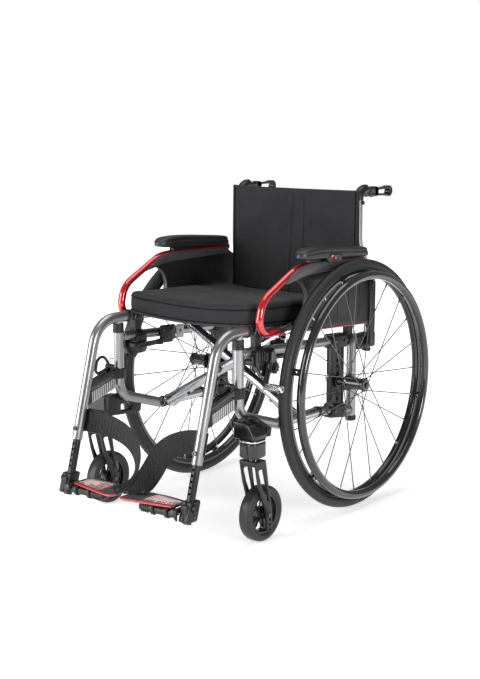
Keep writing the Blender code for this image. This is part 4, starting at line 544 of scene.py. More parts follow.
across = np.concatenate([[-SLING_HALF], np.linspace(-FRAME_X, FRAME_X, 37), [SLING_HALF]])
down = np.linspace(SLING_FRONT + 0.002, SLING_REAR - 0.002, 45)
sheet_x, sheet_y = np.meshgrid(across, down)
drop = np.clip((np.abs(sheet_x) - FRAME_X) / (SLING_HALF - FRAME_X), 0, 1) ** 2 * 0.0022
under = np.dstack([sheet_x, sheet_y, sling_z(sheet_x, sheet_y) + 0.0002 - drop])
over = under + (0, 0, 0.0026)
sling_skin = skin(np.concatenate([under, over[:, ::-1]], axis=1))
sling = piece("seat_sling_cloth", [sling_skin], [sling_cloth], None, ["seat_sling"])
hem_line = np.column_stack(
    [across, np.full(len(across), SLING_FRONT + 0.003), sling_z(across, SLING_FRONT) + 0.0012]
)
hem_ring = loop_of(rectangle((-0.0034, -0.0030), (0.0034, 0.0026)), 0.0022)
hem = piece("seat_sling_hem", [carried(hem_line, hem_ring, (0, 1, 0))], [hem_tape], None)


def bell(value, middle, width):
    """A smooth bump of height one: e to the minus square of the distance from its middle over its width."""
    return np.exp(-(((value - middle) / width) ** 2))


def cushion_plan(inward):
    """The cushion's outline drawn in by a distance: a rectangle with small corners, evenly spaced."""
    half = np.array([SLING_HALF - 0.0035, (SLING_REAR - SLING_FRONT) / 2 - 0.0020]) - inward
    corners = half * [(1, -1), (1, 1), (-1, 1), (-1, -1)] + (0, (SLING_REAR + SLING_FRONT) / 2)
    outline = loop_of(corners, max(0.0135 - inward * 0.5, 0.004), math.radians(6))
    ring = np.concatenate([outline, outline[:1]])
    length = np.concatenate([[0], np.cumsum(np.linalg.norm(np.diff(ring, axis=0), axis=1))])
    even = np.linspace(0, length[-1], 241)[:-1]
    return np.column_stack([np.interp(even, length, ring[:, k]) for k in (0, 1)])


def on_sling(flat, height):
    """Points at a height above the cushion's foot, which follows the sling."""
    return np.column_stack([flat, sling_z(flat[:, 0], flat[:, 1]) + CUSHION_LIFT + height])


def cushion_form():
    """A boxed pad on the sling: upright sides, a deep seam high on them, then a rolled edge and a crown.

    Each row is the plan drawn in by a distance, at a share of the pad's height. Front corners are pinched.
    """
    middle = np.array([0, (SLING_REAR + SLING_FRONT) / 2])
    edge = cushion_plan(0.0)
    pinch = 0.0030 * bell(np.abs(edge[:, 0]), SLING_HALF - 0.0075, 0.004)
    pinch = pinch * bell(edge[:, 1], SLING_FRONT + 0.0062, 0.004)
    rows = []
    for inward, height in (
        (0.0045, 0.0), (0.0014, 0.04), (0.0003, 0.14), (0.0, 0.38), (0.0003, 0.60), (0.0012, 0.71),
        (0.0022, 0.745), (0.0036, 0.765), (0.0022, 0.785), (0.0013, 0.81), (0.0016, 0.87), (0.0034, 0.95),
        (0.0070, 1.02), (0.0130, 1.07),
    ):
        flat = cushion_plan(inward)
        flat = flat + unit(middle - flat) * pinch[:, None] * (height > 0.05)
        rows.append((flat, height))
    foot, crest = rows[0][0] - middle, rows[-1][0] - middle
    rows = [(middle + foot * share, 0.0) for share in (0.12, 0.45, 0.75, 0.93)] + rows
    for share in (0.94, 0.82, 0.66, 0.48, 0.30, 0.14):
        rows.append((middle + crest * share, 1.07 + 0.10 * (1 - share**2)))
    return skin(np.stack([on_sling(flat, height * CUSHION_H) for flat, height in rows]))


def puffed(made, pressure, limit, frames=14):
    """Blows a pad up a little as cloth and gives its points, each held within a limit of where it began."""
    start = np.empty(len(made.data.vertices) * 3)
    made.data.vertices.foreach_get("co", start)
    start = start.reshape(-1, 3)
    cloth = made.modifiers.new("cover", "CLOTH")
    cloth.settings.use_pressure = True
    cloth.settings.uniform_pressure_force = pressure
    cloth.settings.effector_weights.gravity = 0
    cloth.settings.tension_stiffness = 25
    cloth.settings.bending_stiffness = 4
    for step in range(1, frames + 1):
        bpy.context.scene.frame_set(step)
    graph = bpy.context.evaluated_depsgraph_get()
    shaped = made.evaluated_get(graph).to_mesh()
    end = np.empty(len(shaped.vertices) * 3)
    shaped.vertices.foreach_get("co", end)
    made.evaluated_get(graph).to_mesh_clear()
    made.modifiers.remove(cloth)
    bpy.context.scene.frame_set(1)
    move = end.reshape(-1, 3) - start
    reach = np.linalg.norm(move, axis=1, keepdims=True)
    return start + move * np.minimum(1, limit / np.maximum(reach, 1e-9))


cushion = piece("seat_cushion_cover", [cushion_form()], [cover_cloth], None, ["seat_cushion"])
swollen = puffed(cushion, 2.0, 0.0022)
place = swollen - (0, AXLE_AT.y, 0)
floor_line = sling_z(place[:, 0], place[:, 1]) + 0.0032
swollen[:, 2] = np.maximum(swollen[:, 2], floor_line)
swollen[:, 0] = np.clip(swollen[:, 0], -SLING_HALF - 0.0015, SLING_HALF + 0.0015)
cushion.data.vertices.foreach_set("co", swollen.ravel())
cushion.data.shade_smooth()


def cushion_seam(height, inward, radius):
    """Piping round the cushion at one height, sunk in by a distance; its near-black cloth is painted seam
    shade.
    """
    return tube(on_sling(cushion_plan(inward), height), radius, 8, (0, 0, 1), True)


seams = piece(
    "seat_cushion_piping",
    [cushion_seam(CUSHION_H * 0.765, 0.0028, 0.0012), cushion_seam(CUSHION_H * 0.02, 0.0024, 0.0014)],
    [piping_painted_shade], None,
)
for soft in (sling, hem, cushion, seams):
    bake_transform(soft)

# Back. Two grey canes step forward at the lumbar and end in folding loop grips of black plastic. Between
# them hangs a padded back in black woven cloth, with an upright face, a piped seam down each side and two
# long welts. The piping is near black as painted shade in the seams.
CANE_R = 0.010
HANDLE_AT = (0.130, 0.737)
BACK_HALF = 0.1930
BACK_LOW = 0.479
BACK_TOP = 0.742

cane_line = bent(
    in_plane(FRAME_X, [(0.131, 0.352), (0.149, 0.522), (0.088, 0.612), (0.088, 0.744), (0.1175, 0.744)]),
    (0.070, 0.070, 0.024),
)
lug_outline = np.concatenate([arc(HANDLE_AT, 0.0105, -100, 100, 10), [(0.1125, 0.7510), (0.1125, 0.7365)]])
cane = [
    tube(cane_line, CANE_R),
    tube(cane_line[cane_line[:, 2] > 0.7195], CANE_R + 0.0018, mark=1),
    plate(lug_outline, FRAME_X - 0.0043, FRAME_X + 0.0043, 0.0008, mark=1),
    pin(*HANDLE_AT, FRAME_X - 0.0098, FRAME_X + 0.0098, 0.0034, 0.0010, 20, 2),
    pin(0.0904, 0.714, FRAME_X + 0.0085, FRAME_X + 0.0140, 0.0052, 0.0016, 24, 1),
    pin(0.0904, 0.714, FRAME_X + 0.0120, FRAME_X + 0.0146, 0.0027, 0.0006, 6, 2),
    rod(at(0.1305, 0.3485), at(0.1318, 0.3580), CANE_R + 0.0010, 0.0025, mark=1),
]
both("back_cane_tube", cane, [frame_paint, black_plastic, bolt_steel], "frame", ["back_cane"])


def cheek(low, high):
    """One half of the grip's fork, which turns on the pin beside the cane's lug."""
    outline = np.concatenate([arc(HANDLE_AT, 0.0125, 70, 290, 20), [(0.1590, 0.7262), (0.1590, 0.7480)]])
    return plate(outline, low, high, 0.0013, holes=[round_hole(HANDLE_AT, 0.0038)])


grip_outline = np.concatenate(
    [
        [(0.1440, 0.7252), (0.160, 0.7264), (0.185, 0.7262)], arc((0.211, 0.736), 0.0135, -95, 95, 18),
        [(0.185, 0.7458), (0.166, 0.7466), (0.155, 0.7500), (0.1440, 0.7496)],
    ]
)
grip_slot = np.concatenate(
    [arc((0.167, 0.7365), 0.0043, 90, 270, 8), arc((0.2065, 0.736), 0.0060, -90, 90, 12)]
)
grip = [
    plate(
        loop_of(grip_outline, 0.003), FRAME_X - 0.009, FRAME_X + 0.009, 0.0026, holes=[grip_slot], steps=6,
    ),
    cheek(FRAME_X - 0.009, FRAME_X - 0.0047), cheek(FRAME_X + 0.0047, FRAME_X + 0.009),
]
both("push_handle_loop", grip, [black_gloss], "handle", ["push_handle"])


def beside_cane(z, distance):
    """Y of a line that runs in front of the canes at a distance from their centre line."""
    ahead = unit(np.gradient(cane_line, axis=0))
    line = cane_line - np.column_stack([ahead[:, 0], ahead[:, 2], -ahead[:, 1]]) * distance
    line = line[cane_line[:, 2] < 0.7205]
    return np.interp(z, line[:, 2], line[:, 1])


def back_face(x, z):
    """Y of the cover's face: fuller low down, with two welts and two seams, crossed by a few slack folds."""
    share = np.clip((BACK_TOP - z) / (BACK_TOP - BACK_LOW), 0, 1)
    side = np.abs(x) / BACK_HALF
    full = (0.0005 + 0.0015 * share) * (1 - side**4)
    folds = 0.0010 * np.sin(2 * math.pi * (x / 0.17 + z / 0.21))
    folds = folds + 0.0006 * np.sin(2 * math.pi * (x / 0.083 - z / 0.11) + 1.3)
    welts = 0.0
    for welt in (0.001 - 0.009 * share, 0.0335 + 0.001 * share):
        welts = welts + 0.0016 * bell(x, welt, 0.0015) - 0.0009 * bell(x, welt - 0.0045, 0.0026)
    welts = welts * np.clip((0.730 - z) / 0.006, 0, 1)
    seams = 0.0012 * bell(np.abs(x), BACK_HALF - 0.0085, 0.0014)
    return 0.070 - 0.0050 * share - full + folds * (1 - side**2) + welts + seams


def back_cover():
    """Rings at many heights round the pad: its face, a rounded edge, the side by the canes, an edge again."""
    rise = np.linspace(0.12, math.pi / 2, 6)
    low = BACK_LOW + 0.008 * (1 - np.cos(rise))
    high = BACK_TOP - 0.0035 * (1 - np.cos(rise))[::-1]
    z = np.concatenate([low, np.linspace(low[-1], high[0], 62)[1:-1], high])
    full = np.concatenate([np.sin(rise), np.ones(60), np.sin(rise)[::-1]])[:, None]
    edge = 0.0036
    turn = np.linspace(0, math.pi, 9)[1:-1]
    x = np.concatenate(
        [
            np.linspace(-BACK_HALF + edge, BACK_HALF - edge, 301), BACK_HALF - edge + edge * np.sin(turn),
            np.linspace(BACK_HALF - edge, -BACK_HALF + edge, 41), edge - BACK_HALF - edge * np.sin(turn),
        ]
    )
    depth = np.concatenate([np.ones(301), 0.5 + 0.5 * np.cos(turn), np.zeros(41), 0.5 - 0.5 * np.cos(turn)])
    x, z = np.broadcast_arrays(x[None], z[:, None])
    front, rear = back_face(x, z), beside_cane(z, CANE_R + 0.0006)
    y = rear + (front - rear) * (0.5 + (depth[None] - 0.5) * full)
    side = np.abs(x)
    dip = 0.0018 * np.clip((side - 0.176) / 0.012, 0, 1) - 0.0022 * bell(side, 0.158, 0.013)
    return skin(np.dstack([x, y, z + dip * np.clip((z - 0.70) / 0.04, 0, 1)]))


back = piece("back_cover", [back_cover()], [cover_cloth], None, ["back_upholstery"])
seam_z = np.linspace(BACK_TOP - 0.003, BACK_LOW + 0.006, 60)
seam_x = np.full(60, BACK_HALF - 0.0085)
back_piping = [
    tube(np.column_stack([seam_x * sign, back_face(seam_x, seam_z) - 0.0002, seam_z]), 0.0021, 8)
    for sign in (-1, 1)
]
back_seams = piece("back_cover_piping", back_piping, [piping_painted_shade], None)
for soft in (back, back_seams):
    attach(soft, "left_frame")
    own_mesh(soft)

# Rear wheels. A black rim laced with thin spokes to a tapered hub, a narrow black tyre with a fine tread,
# and a black handrim on six tabs bolted through the rim. A release button sits in the end of the hub's
# hollow axle.
WHEEL_AT = np.array([0.240, 0.0, 0.295])
SPOKES = 24
HANDRIM_R = 0.2597
HANDRIM_X = 0.0303

tyre_rubber = surface(
    "tyre_rubber", (0.016, 0.016, 0.017), (0.45, 0.60), 0.0, 0.18, 900, 0.12, Specular_IOR_Level=0.45,
)
spoke_steel = surface("spoke_steel", (0.16, 0.16, 0.165), (0.30, 0.42), 0.9, 0.08, 1200, 0.04)
rim_black = surface(
    "rim_black", (0.012, 0.012, 0.013), (0.14, 0.22), 0.2, 0.15, 1400, 0.03, Coat_Weight=0.6,
)
handrim_coat = surface(
    "handrim_coat", (0.010, 0.010, 0.011), (0.16, 0.24), 0.0, 0.15, 1500, 0.03, Coat_Weight=0.7,
)


def tyre(steps=1080, pitches=135):
    """A ring of sections; slanted cuts on both shoulders and two round grooves are pressed into the tread."""
    turn = np.linspace(math.radians(-32), math.radians(212), 30)
    section = np.column_stack([-0.0125 * np.cos(turn), 0.2822 + 0.0128 * np.sin(turn)])
    section = np.concatenate([section, [(0.0086, 0.2712), (-0.0086, 0.2712)]])
    around = np.linspace(0, 2 * math.pi, steps, endpoint=False)[:, None]
    place = section[None, :, 0] / 0.0125
    crown = np.clip((section[None, :, 1] - 0.2865) / 0.003, 0, 1)
    slant = np.cos(around * pitches + np.abs(place) * 5.5)
    cuts = 0.00055 * np.clip((slant - 0.35) / 0.4, 0, 1) * np.clip((np.abs(place) - 0.22) / 0.1, 0, 1)
    rings = 0.0005 * bell(np.abs(place), 0.16, 0.05)
    radius = section[None, :, 1] - (cuts + rings) * crown
    grid = np.dstack(
        [np.broadcast_to(section[:, 0], radius.shape), radius * np.sin(around), radius * np.cos(around)]
    )
    return skin(grid + WHEEL_AT, loop=True)


both("tyre_tread", [tyre()], [tyre_rubber], "wheel_set", ["tyre"])

rim_profile = [
    (-0.0100, 0.2705), (-0.0094, 0.2711), (-0.0078, 0.2709), (-0.0070, 0.2665), (0.0070, 0.2665),
    (0.0078, 0.2709), (0.0094, 0.2711), (0.0100, 0.2705), (0.0100, 0.2638), (0.0085, 0.2612),
    (0.0045, 0.2580), (0.0, 0.2571), (-0.0045, 0.2580), (-0.0085, 0.2612), (-0.0100, 0.2638),
]
hub_profile = [
    (-0.0275, 0.0062), (-0.0275, 0.0128), (-0.0262, 0.0142), (-0.0258, 0.0192), (-0.0250, 0.0200),
    (-0.0212, 0.0200), (-0.0204, 0.0190), (-0.0190, 0.0172), (-0.0120, 0.0158), (0.0040, 0.0142),
    (0.0195, 0.0136), (0.0215, 0.0150), (0.0225, 0.0162), (0.0262, 0.0162), (0.0272, 0.0155),
    (0.0285, 0.0148), (0.0295, 0.0136), (0.0295, 0.0070), (0.0290, 0.0066), (0.0165, 0.0066),
]


def lacing():
    """Every spoke, from a hole in a flange to its nipple in the rim. Pairs on a flange lean opposite ways."""
    shells = []
    for i in range(SPOKES):
        outer = i % 2 == 1
        turn = 2 * math.pi * i / SPOKES
        pull = 1 if i % 4 < 2 else -1
        foot_r, flange = (0.0140, 0.0243) if outer else (0.0172, -0.0231)
        swing = turn + pull * math.radians(62)
        foot = np.array([flange + 0.0012 * pull, foot_r * math.cos(swing), foot_r * math.sin(swing)])
        head = np.array([0.002 if outer else -0.002, 0.2590 * math.cos(turn), 0.2590 * math.sin(turn)])
        inward = unit(foot - head)
        shells.append(rod(WHEEL_AT + foot, WHEEL_AT + head, 0.00125, 0.0002, 8, 1))
        shells.append(rod(WHEEL_AT + head, WHEEL_AT + head + inward * 0.012, 0.0021, 0.0007, 10, 2))
        bend = np.array([pull, 0, 0])
        start, end = WHEEL_AT + foot - bend * 0.0022, WHEEL_AT + foot + bend * 0.0016
        shells.append(rod(start, end, 0.0019, 0.0007, 10, 1))
    return shells


axle_profile = [
    (-0.0875, 0.0001), (-0.0875, 0.0045), (-0.0855, 0.0060), (-0.0270, 0.0060), (-0.0270, 0.0001),
]
axle = [
    turned(axle_profile, WHEEL_AT, mark=2),
    rod(WHEEL_AT + (-0.083, 0, 0.0045), WHEEL_AT + (-0.083, 0, 0.0071), 0.0017, 0.0012, 12, 2),
    rod(WHEEL_AT + (-0.083, 0, -0.0045), WHEEL_AT + (-0.083, 0, -0.0071), 0.0017, 0.0012, 12, 2),
]
wheel = [
    turned(rim_profile, WHEEL_AT, sides=192, closed=True),
    turned(hub_profile, WHEEL_AT, sides=48),
    *lacing(),
    *axle,
]
both("wheel_laced", wheel, [rim_black, spoke_steel, bright_metal], "wheel_set", ["wheel"])


def about_x(angle):
    """The matrix that turns points about the X axis."""
    cosine, sine = math.cos(angle), math.sin(angle)
    return np.array([[1, 0, 0], [0, cosine, -sine], [0, sine, cosine]])


def handrim():
    """The hoop, and at each tab a strip of plate that reaches in to the rim, with a bolt through it."""
    shells = [tube(in_plane(HANDRIM_X, circle(240) * HANDRIM_R) + WHEEL_AT, 0.0100, 24, loop=True)]
    screw_profile = [
        (0, 0.0001), (0, 0.0040), (0.0022, 0.0038), (0.0032, 0.0024), (0.0024, 0.0018), (0.0024, 0.0001),
    ]
    for i in range(6):
        spin = about_x(2 * math.pi * (i + 0.25) / 6)
        tab = box((0.0104, -0.008, HANDRIM_R + 0.0006), (HANDRIM_X, 0.008, HANDRIM_R + 0.0050), 0.0012, 0)
        foot = box((0.0104, -0.008, HANDRIM_R - 0.0012), (0.0146, 0.008, HANDRIM_R + 0.0092), 0.0014, 0)
        screw = turned(screw_profile, (0.0144, 0, HANDRIM_R + 0.0040), sides=20, mark=1)
        shells += [(points @ spin.T + WHEEL_AT, faces, mark) for points, faces, mark in (tab, foot, screw)]
    return shells


both("handrim_hoop", handrim(), [handrim_coat, bright_metal], "wheel_set", ["handrim"])
button_profile = [
    (0.0226, 0.0001), (0.0226, 0.0060), (0.0318, 0.0060), (0.0328, 0.0050), (0.0330, 0.0036),
    (0.0324, 0.0030), (0.0324, 0.0001),
]
both(
    "axle_release_button", [turned(button_profile, WHEEL_AT, sides=32)], [black_gloss], "button",
    ["axle_button"],
)

# Axle plates and armrest blocks. A drilled black plate is clamped between the two rails of each frame and
# carries the axle's sleeve; a black clamp block behind it holds the rear upright, the cane and the
# armrest's pivot.
LOWER_SLOPE = 0.019 / 0.125
LOWER_AT = PIVOT_Z - LOWER_SLOPE * 0.058


def tilted(shell, centre, slope):
    """A shell turned about the X axis through a point, so that its Y side falls by slope."""
    points, faces, mark = shell
    return (points - centre) @ about_x(-math.atan(slope)).T + centre, faces, mark


def rail_clamp(z, slope):
    """A split block round a rail, with two bolts through its upper and lower lips."""
    outline = loop_of(rectangle((FRAME_X - 0.0150, z - 0.017), (FRAME_X + 0.0150, z + 0.017)), 0.007)
    rail_hole = round_hole((FRAME_X, z), TUBE_R + 0.0004, 48)
    shells = [plate(outline, -0.029, 0.029, 0.0012, holes=[rail_hole], along=1)]
    for y in (-0.019, 0.019):
        shells.append(pin(y, z, FRAME_X + 0.0145, FRAME_X + 0.0176, 0.0042, 0.0010, 20, 1))
    return [tilted(shell, at(0, z), slope) for shell in shells]


axle_holes = [
    round_hole((0, WHEEL_AT[2] + 0.0165 * order), 0.0046) for order in (-2.6, -1.6, 1.1, 2.1, 3.1, 4.1)
]
plate_outline = loop_of(rectangle((-0.026, LOWER_AT + 0.008), (0.026, rail_z(0) - 0.008)), 0.002)
sleeve_profile = [
    (-0.018, 0.0064), (-0.018, 0.0098), (-0.0165, 0.0108), (0.030, 0.0108), (0.0316, 0.0098),
    (0.0316, 0.0064),
]
nut_profile = bush(0.0062, 0.0118, 0.0108, 0.0158, 0.0013, 0.0008)
axle_plate = [
    plate(plate_outline, FRAME_X - 0.0062, FRAME_X + 0.0062, 0.0008, holes=axle_holes),
    *[
        box(
            (FRAME_X - 0.0078, y - 0.004, LOWER_AT + 0.012),
            (FRAME_X + 0.0078, y + 0.004, rail_z(0) - 0.012), 0.0012,
        )
        for y in (-0.0215, 0.0215)
    ],
    *rail_clamp(LOWER_AT, LOWER_SLOPE),
    *rail_clamp(rail_z(0), RAIL_FALL),
    turned(sleeve_profile, at(0, WHEEL_AT[2]), sides=36, closed=True),
    turned(nut_profile, at(0, WHEEL_AT[2]), sides=6, mark=1, closed=True),
    rod(at(-0.0365, 0.312), at(-0.0250, 0.312), 0.0046, 0.0014, 24, 2),
]
both(
    "axle_plate_drilled", axle_plate, [black_anodised, bolt_steel, bright_metal], "frame",
    ["axle_plate"],
)

pivot_profile = [
    (0, 0.0001), (0, 0.0074), (0.0022, 0.0074), (0.0032, 0.0062), (0.0032, 0.0034), (0.0014, 0.0030),
    (0.0014, 0.0001),
]
clamp_block = [
    box((FRAME_X - 0.0135, 0.0790, 0.3595), (FRAME_X - 0.0004, 0.1515, 0.3955), 0.0030),
    box((FRAME_X + 0.0004, 0.0790, 0.3595), (FRAME_X + 0.0135, 0.1515, 0.3955), 0.0030),
    pin(0.110, 0.378, FRAME_X + 0.008, 0.2088, 0.0044, 0.0005, 24, 1),
    turned(pivot_profile, (0.2088, 0.110, 0.378), sides=36, mark=1),
]
for bolt_y, bolt_z in ((0.0925, 0.3665), (0.0925, 0.3885), (0.1440, 0.3885)):
    clamp_block.append(pin(bolt_y, bolt_z, FRAME_X + 0.0130, FRAME_X + 0.0158, 0.0036, 0.0010, 20, 1))
both("armrest_clamp", clamp_block, [black_plastic, bolt_steel], "frame", ["armrest_block"])

# Casters. A glossy black housing with a bright band hangs on a bracket under the bend of the lower rail.
# Its stem turns a black fork with slotted legs and four axle heights, round a five-spoke wheel with a soft
# rubber tyre.
CASTER_AT = np.array([0.233, -0.355, 0.0625])
STEM_Y = -0.380

caster_rubber = surface(
    "caster_rubber", (0.014, 0.014, 0.015), (0.34, 0.48), 0.0, 0.18, 700, 0.10, Specular_IOR_Level=0.45,
)
fork_black = surface("fork_black", (0.020, 0.020, 0.021), (0.28, 0.38), 0.4, 0.2, 2200, 0.08)

stem = (CASTER_AT[0], STEM_Y, 0)
barrel = loop_of(rectangle((0.2085, -0.4090), (0.2560, -0.3560)), 0.016)
shoulder = loop_of(
    [
        (0.1930, 0.2330), (0.2526, 0.2330), (0.2526, 0.2450), (0.2380, 0.2640), (0.2120, 0.2725),
        (0.1930, 0.2725),
    ],
    (0.002, 0.003, 0.010, 0.014, 0.008, 0.002),
)
web = loop_of(
    [
        (-0.3930, 0.2230), (-0.3900, 0.2700), (-0.3400, 0.2735), (-0.2770, 0.2350), (-0.2800, 0.2160),
        (-0.3420, 0.2190),
    ],
    (0.004, 0.006, 0.012, 0.005, 0.005, 0.012),
)
window = loop_of(
    [(-0.3480, 0.2300), (-0.3480, 0.2440), (-0.3260, 0.2470), (-0.3080, 0.2360), (-0.3160, 0.2270)], 0.003,
)
cap_profile = [(0.1905, 0.0001), (0.1905, 0.0125), (0.1940, 0.0160), (0.1960, 0.0160), (0.1960, 0.0001)]
disc_profile = [
    (0.2528, 0.0001), (0.2528, 0.0118), (0.2540, 0.0112), (0.2540, 0.0075), (0.2530, 0.0070),
    (0.2530, 0.0001),
]
stopper_profile = [
    (0.2500, 0.0001), (0.2500, 0.0100), (0.2535, 0.0100), (0.2545, 0.0085), (0.2545, 0.0001),
]
housing = [
    plate(barrel, 0.1940, 0.2300, 0.0052, along=2, steps=7),
    plate(barrel, 0.2296, 0.2330, 0.0008, along=2, mark=3),
    plate(shoulder, -0.4018, -0.3582, 0.0040, along=1, steps=6),
    turned(cap_profile, stem, (0, 0, 1), 40),
    plate(web, 0.1926, 0.2042, 0.0022, holes=[window], mark=1, steps=4),
    turned(disc_profile, (0, STEM_Y, 0.2150), sides=40),
    turned(stopper_profile, stem, (0, 0, 1), 36, 1),
    *[
        pin(y, z, 0.2036, 0.2072, 0.0058, 0.0016, 24, 2)
        for y, z in ((-0.3350, 0.2590), (-0.2920, 0.2310), (-0.3650, 0.2560))
    ],
]
both(
    "caster_housing_shell", housing, [black_gloss, black_plastic, bolt_steel, bright_metal], "frame",
    ["caster_housing"],
)

leg_corners = [
    (-0.4020, 0.1880), (-0.3915, 0.1380), (-0.3800, 0.1025), (-0.3640, 0.0745), (-0.3610, 0.0225),
    (-0.3410, 0.0225), (-0.3440, 0.0745), (-0.3560, 0.1300), (-0.3660, 0.1880),
]
leg_outline = loop_of(
    leg_corners, (0.003, 0.06, 0.06, 0.04, 0.0098, 0.0098, 0.05, 0.06, 0.003), math.radians(9),
)
leg_slot = loop_of(
    [
        (-0.3925, 0.1690), (-0.3745, 0.1690), (-0.3640, 0.1300), (-0.3545, 0.0920), (-0.3640, 0.0975),
        (-0.3820, 0.1350),
    ],
    (0.004, 0.004, 0.03, 0.003, 0.003, 0.05),
)
leg_holes = [leg_slot, *[round_hole((-0.351, z), 0.0028, 12) for z in (0.0510, 0.0395, 0.0280)]]
crown = loop_of(rectangle((CASTER_AT[0] - 0.0236, -0.4022), (CASTER_AT[0] + 0.0236, -0.3658)), 0.004)
fork = [
    *[
        plate(leg_outline, CASTER_AT[0] + low, CASTER_AT[0] + low + 0.006, 0.0012, holes=leg_holes)
        for low in (-0.0235, 0.0175)
    ],
    plate(crown, 0.1770, 0.1882, 0.0018, along=2, steps=5),
    turned(bush(0.1882, 0.1935, 0.0062, 0.0121, 0.0006, 0.0007), stem, (0, 0, 1), 40, 1, True),
    rod((*stem[:2], 0.1800), (*stem[:2], 0.2200), 0.0060, 0.0006, 24, 1),
    rod(CASTER_AT - (0.0238, 0, 0), CASTER_AT + (0.0238, 0, 0), 0.0039, 0.0005, 20, 2),
]
axle_nut = [
    (0, 0.0001), (0, 0.0076), (0.0010, 0.0076), (0.0012, 0.0062), (0.0040, 0.0060), (0.0046, 0.0052),
    (0.0046, 0.0001),
]
for side in (-1, 1):
    fork.append(turned(axle_nut, CASTER_AT + (side * 0.0235, 0, 0), (side, 0, 0), 6, 2))
both(
    "caster_fork_forged", fork, [fork_black, bright_metal, bolt_steel], "fork",
    ["caster_fork"],
)


def spoke_window(order):
    """The opening between two spokes, drawn in polar steps round the hub and its corners rounded."""
    angles = np.radians(72 * order + np.array([20, 52, 62, 50, 36, 22, 10]))
    radii = np.array([0.0150, 0.0150, 0.0372, 0.0380, 0.0382, 0.0380, 0.0372])
    corners = np.column_stack([radii * np.cos(angles), radii * np.sin(angles)]) + CASTER_AT[1:]
    return loop_of(corners, (0.003, 0.003, 0.004, 0.02, 0.02, 0.02, 0.004))


caster_rim = [
    (-0.0118, 0.0405), (-0.0126, 0.0440), (-0.0120, 0.0450), (0.0120, 0.0450), (0.0126, 0.0440),
    (0.0118, 0.0405), (0.0066, 0.0385), (-0.0066, 0.0385),
]
caster_hub = [
    (-0.0152, 0.0044), (-0.0152, 0.0082), (-0.0140, 0.0086), (-0.0136, 0.0112), (-0.0070, 0.0135),
    (0.0070, 0.0135), (0.0136, 0.0112), (0.0140, 0.0086), (0.0152, 0.0082), (0.0152, 0.0044),
]
caster_tread = [
    (-0.0122, 0.0452), (-0.0142, 0.0480), (-0.0149, 0.0530), (-0.0143, 0.0575), (-0.0120, 0.0608),
    (-0.0082, 0.0622), (0.0, 0.0625), (0.0082, 0.0622), (0.0120, 0.0608), (0.0143, 0.0575),
    (0.0149, 0.0530), (0.0142, 0.0480), (0.0122, 0.0452),
]
caster_shells = [
    plate(
        round_hole(CASTER_AT[1:], 0.0415, 144), CASTER_AT[0] - 0.0062, CASTER_AT[0] + 0.0062, 0.0014,
        holes=[*map(spoke_window, range(5)), round_hole(CASTER_AT[1:], 0.0090, 36)], steps=4,
    ),
    turned(caster_rim, CASTER_AT, sides=144, closed=True),
    turned(caster_hub, CASTER_AT, sides=48, closed=True),
]
both("caster_wheel_spoked", caster_shells, [black_gloss], "caster", ["caster_wheel"])
both(
    "caster_tyre_round", [turned(caster_tread, CASTER_AT, sides=160, closed=True)], [caster_rubber],
    "caster", ["caster_tyre"],
)

# Hangers. A bent aluminium tube swings on a pin in the top of the upright. Below it a black bracket with
# pale ribs, under a glossy bar, meets the upright's collar in a jaw, and a black loop lever on two ears
# lets it go. The bracket's black between the ribs is painted shade in the gaps.
HANGER_LEAN = 0.272
HANGER_TOP_Z = 0.457
HANGER_TOP_Y = -0.435
LATCH_AT = (-0.397, 0.3458)

bracket_grey = surface("bracket_grey", (0.50, 0.50, 0.48), (0.34, 0.46), 0.25, 0.10, 1200, 0.08)


def hanger_y(z):
    """Y of the leaning lower part of the hanger at a height."""
    return HANGER_TOP_Y - HANGER_LEAN * (HANGER_TOP_Z - z)


def ribs(count=11, pitch=0.0070):
    """Upright ribs on both faces of the bracket, cut off along its sloping edges."""
    shells = []
    for start in -0.3925 - pitch * np.arange(count):
        edges = np.array([start, start - 0.0040])
        low, high = 0.2935 + 0.284 * (edges + 0.388), 0.3185 + 0.284 * (edges + 0.388)
        outline = [(edges[0], low[0]), (edges[1], low[1]), (edges[1], high[1]), (edges[0], high[0])]
        shells.append(plate(outline, FRAME_X - 0.0098, FRAME_X + 0.0098, 0.0004, mark=1, steps=2))
    return shells


hanger_corners = [(-0.340, HANGER_TOP_Z), (HANGER_TOP_Y, HANGER_TOP_Z), (hanger_y(0.193), 0.193)]
hanger_line = bent(in_plane(FRAME_X, hanger_corners), (0.070,), math.radians(4))
post = (FRAME_X, UPRIGHT_Y, 0)
jaw_front = [(FRAME_X + 0.0125, -0.3930), (FRAME_X - 0.0125, -0.3930)]
jaw = np.concatenate([arc((FRAME_X, UPRIGHT_Y), 0.0151, 218, 322, 14), jaw_front])
ear = np.concatenate([arc(LATCH_AT, 0.0060, 0, 180, 12), [(-0.4032, 0.3290), (-0.3908, 0.3290)]])
top_bar = loop_of(
    [
        (-0.3845, 0.3372), (-0.3960, 0.3390), (-0.4700, 0.3150), (-0.4735, 0.3020), (-0.3980, 0.3225),
        (-0.3845, 0.3160),
    ],
    (0.002, 0.006, 0.005, 0.005, 0.006, 0.002),
)
saddle = loop_of(
    [(-0.4650, 0.2715), (-0.4660, 0.2985), (-0.4740, 0.3050), (-0.4830, 0.2680)],
    (0.003, 0.002, 0.002, 0.004),
)
pin_profile = [(0.3890, 0.0001), (0.3890, 0.0071), (0.4300, 0.0071), (0.4300, 0.0001)]
collar_profile = [
    (0.4303, 0.0060), (0.4303, 0.0118), (0.4312, 0.0128), (0.4424, 0.0128), (0.4434, 0.0118),
    (0.4434, 0.0060),
]
bolt_profile = [
    (0.0100, 0.0001), (0.0100, 0.0058), (0.0148, 0.0056), (0.0158, 0.0046), (0.0158, 0.0029),
    (0.0136, 0.0026), (0.0136, 0.0001),
]
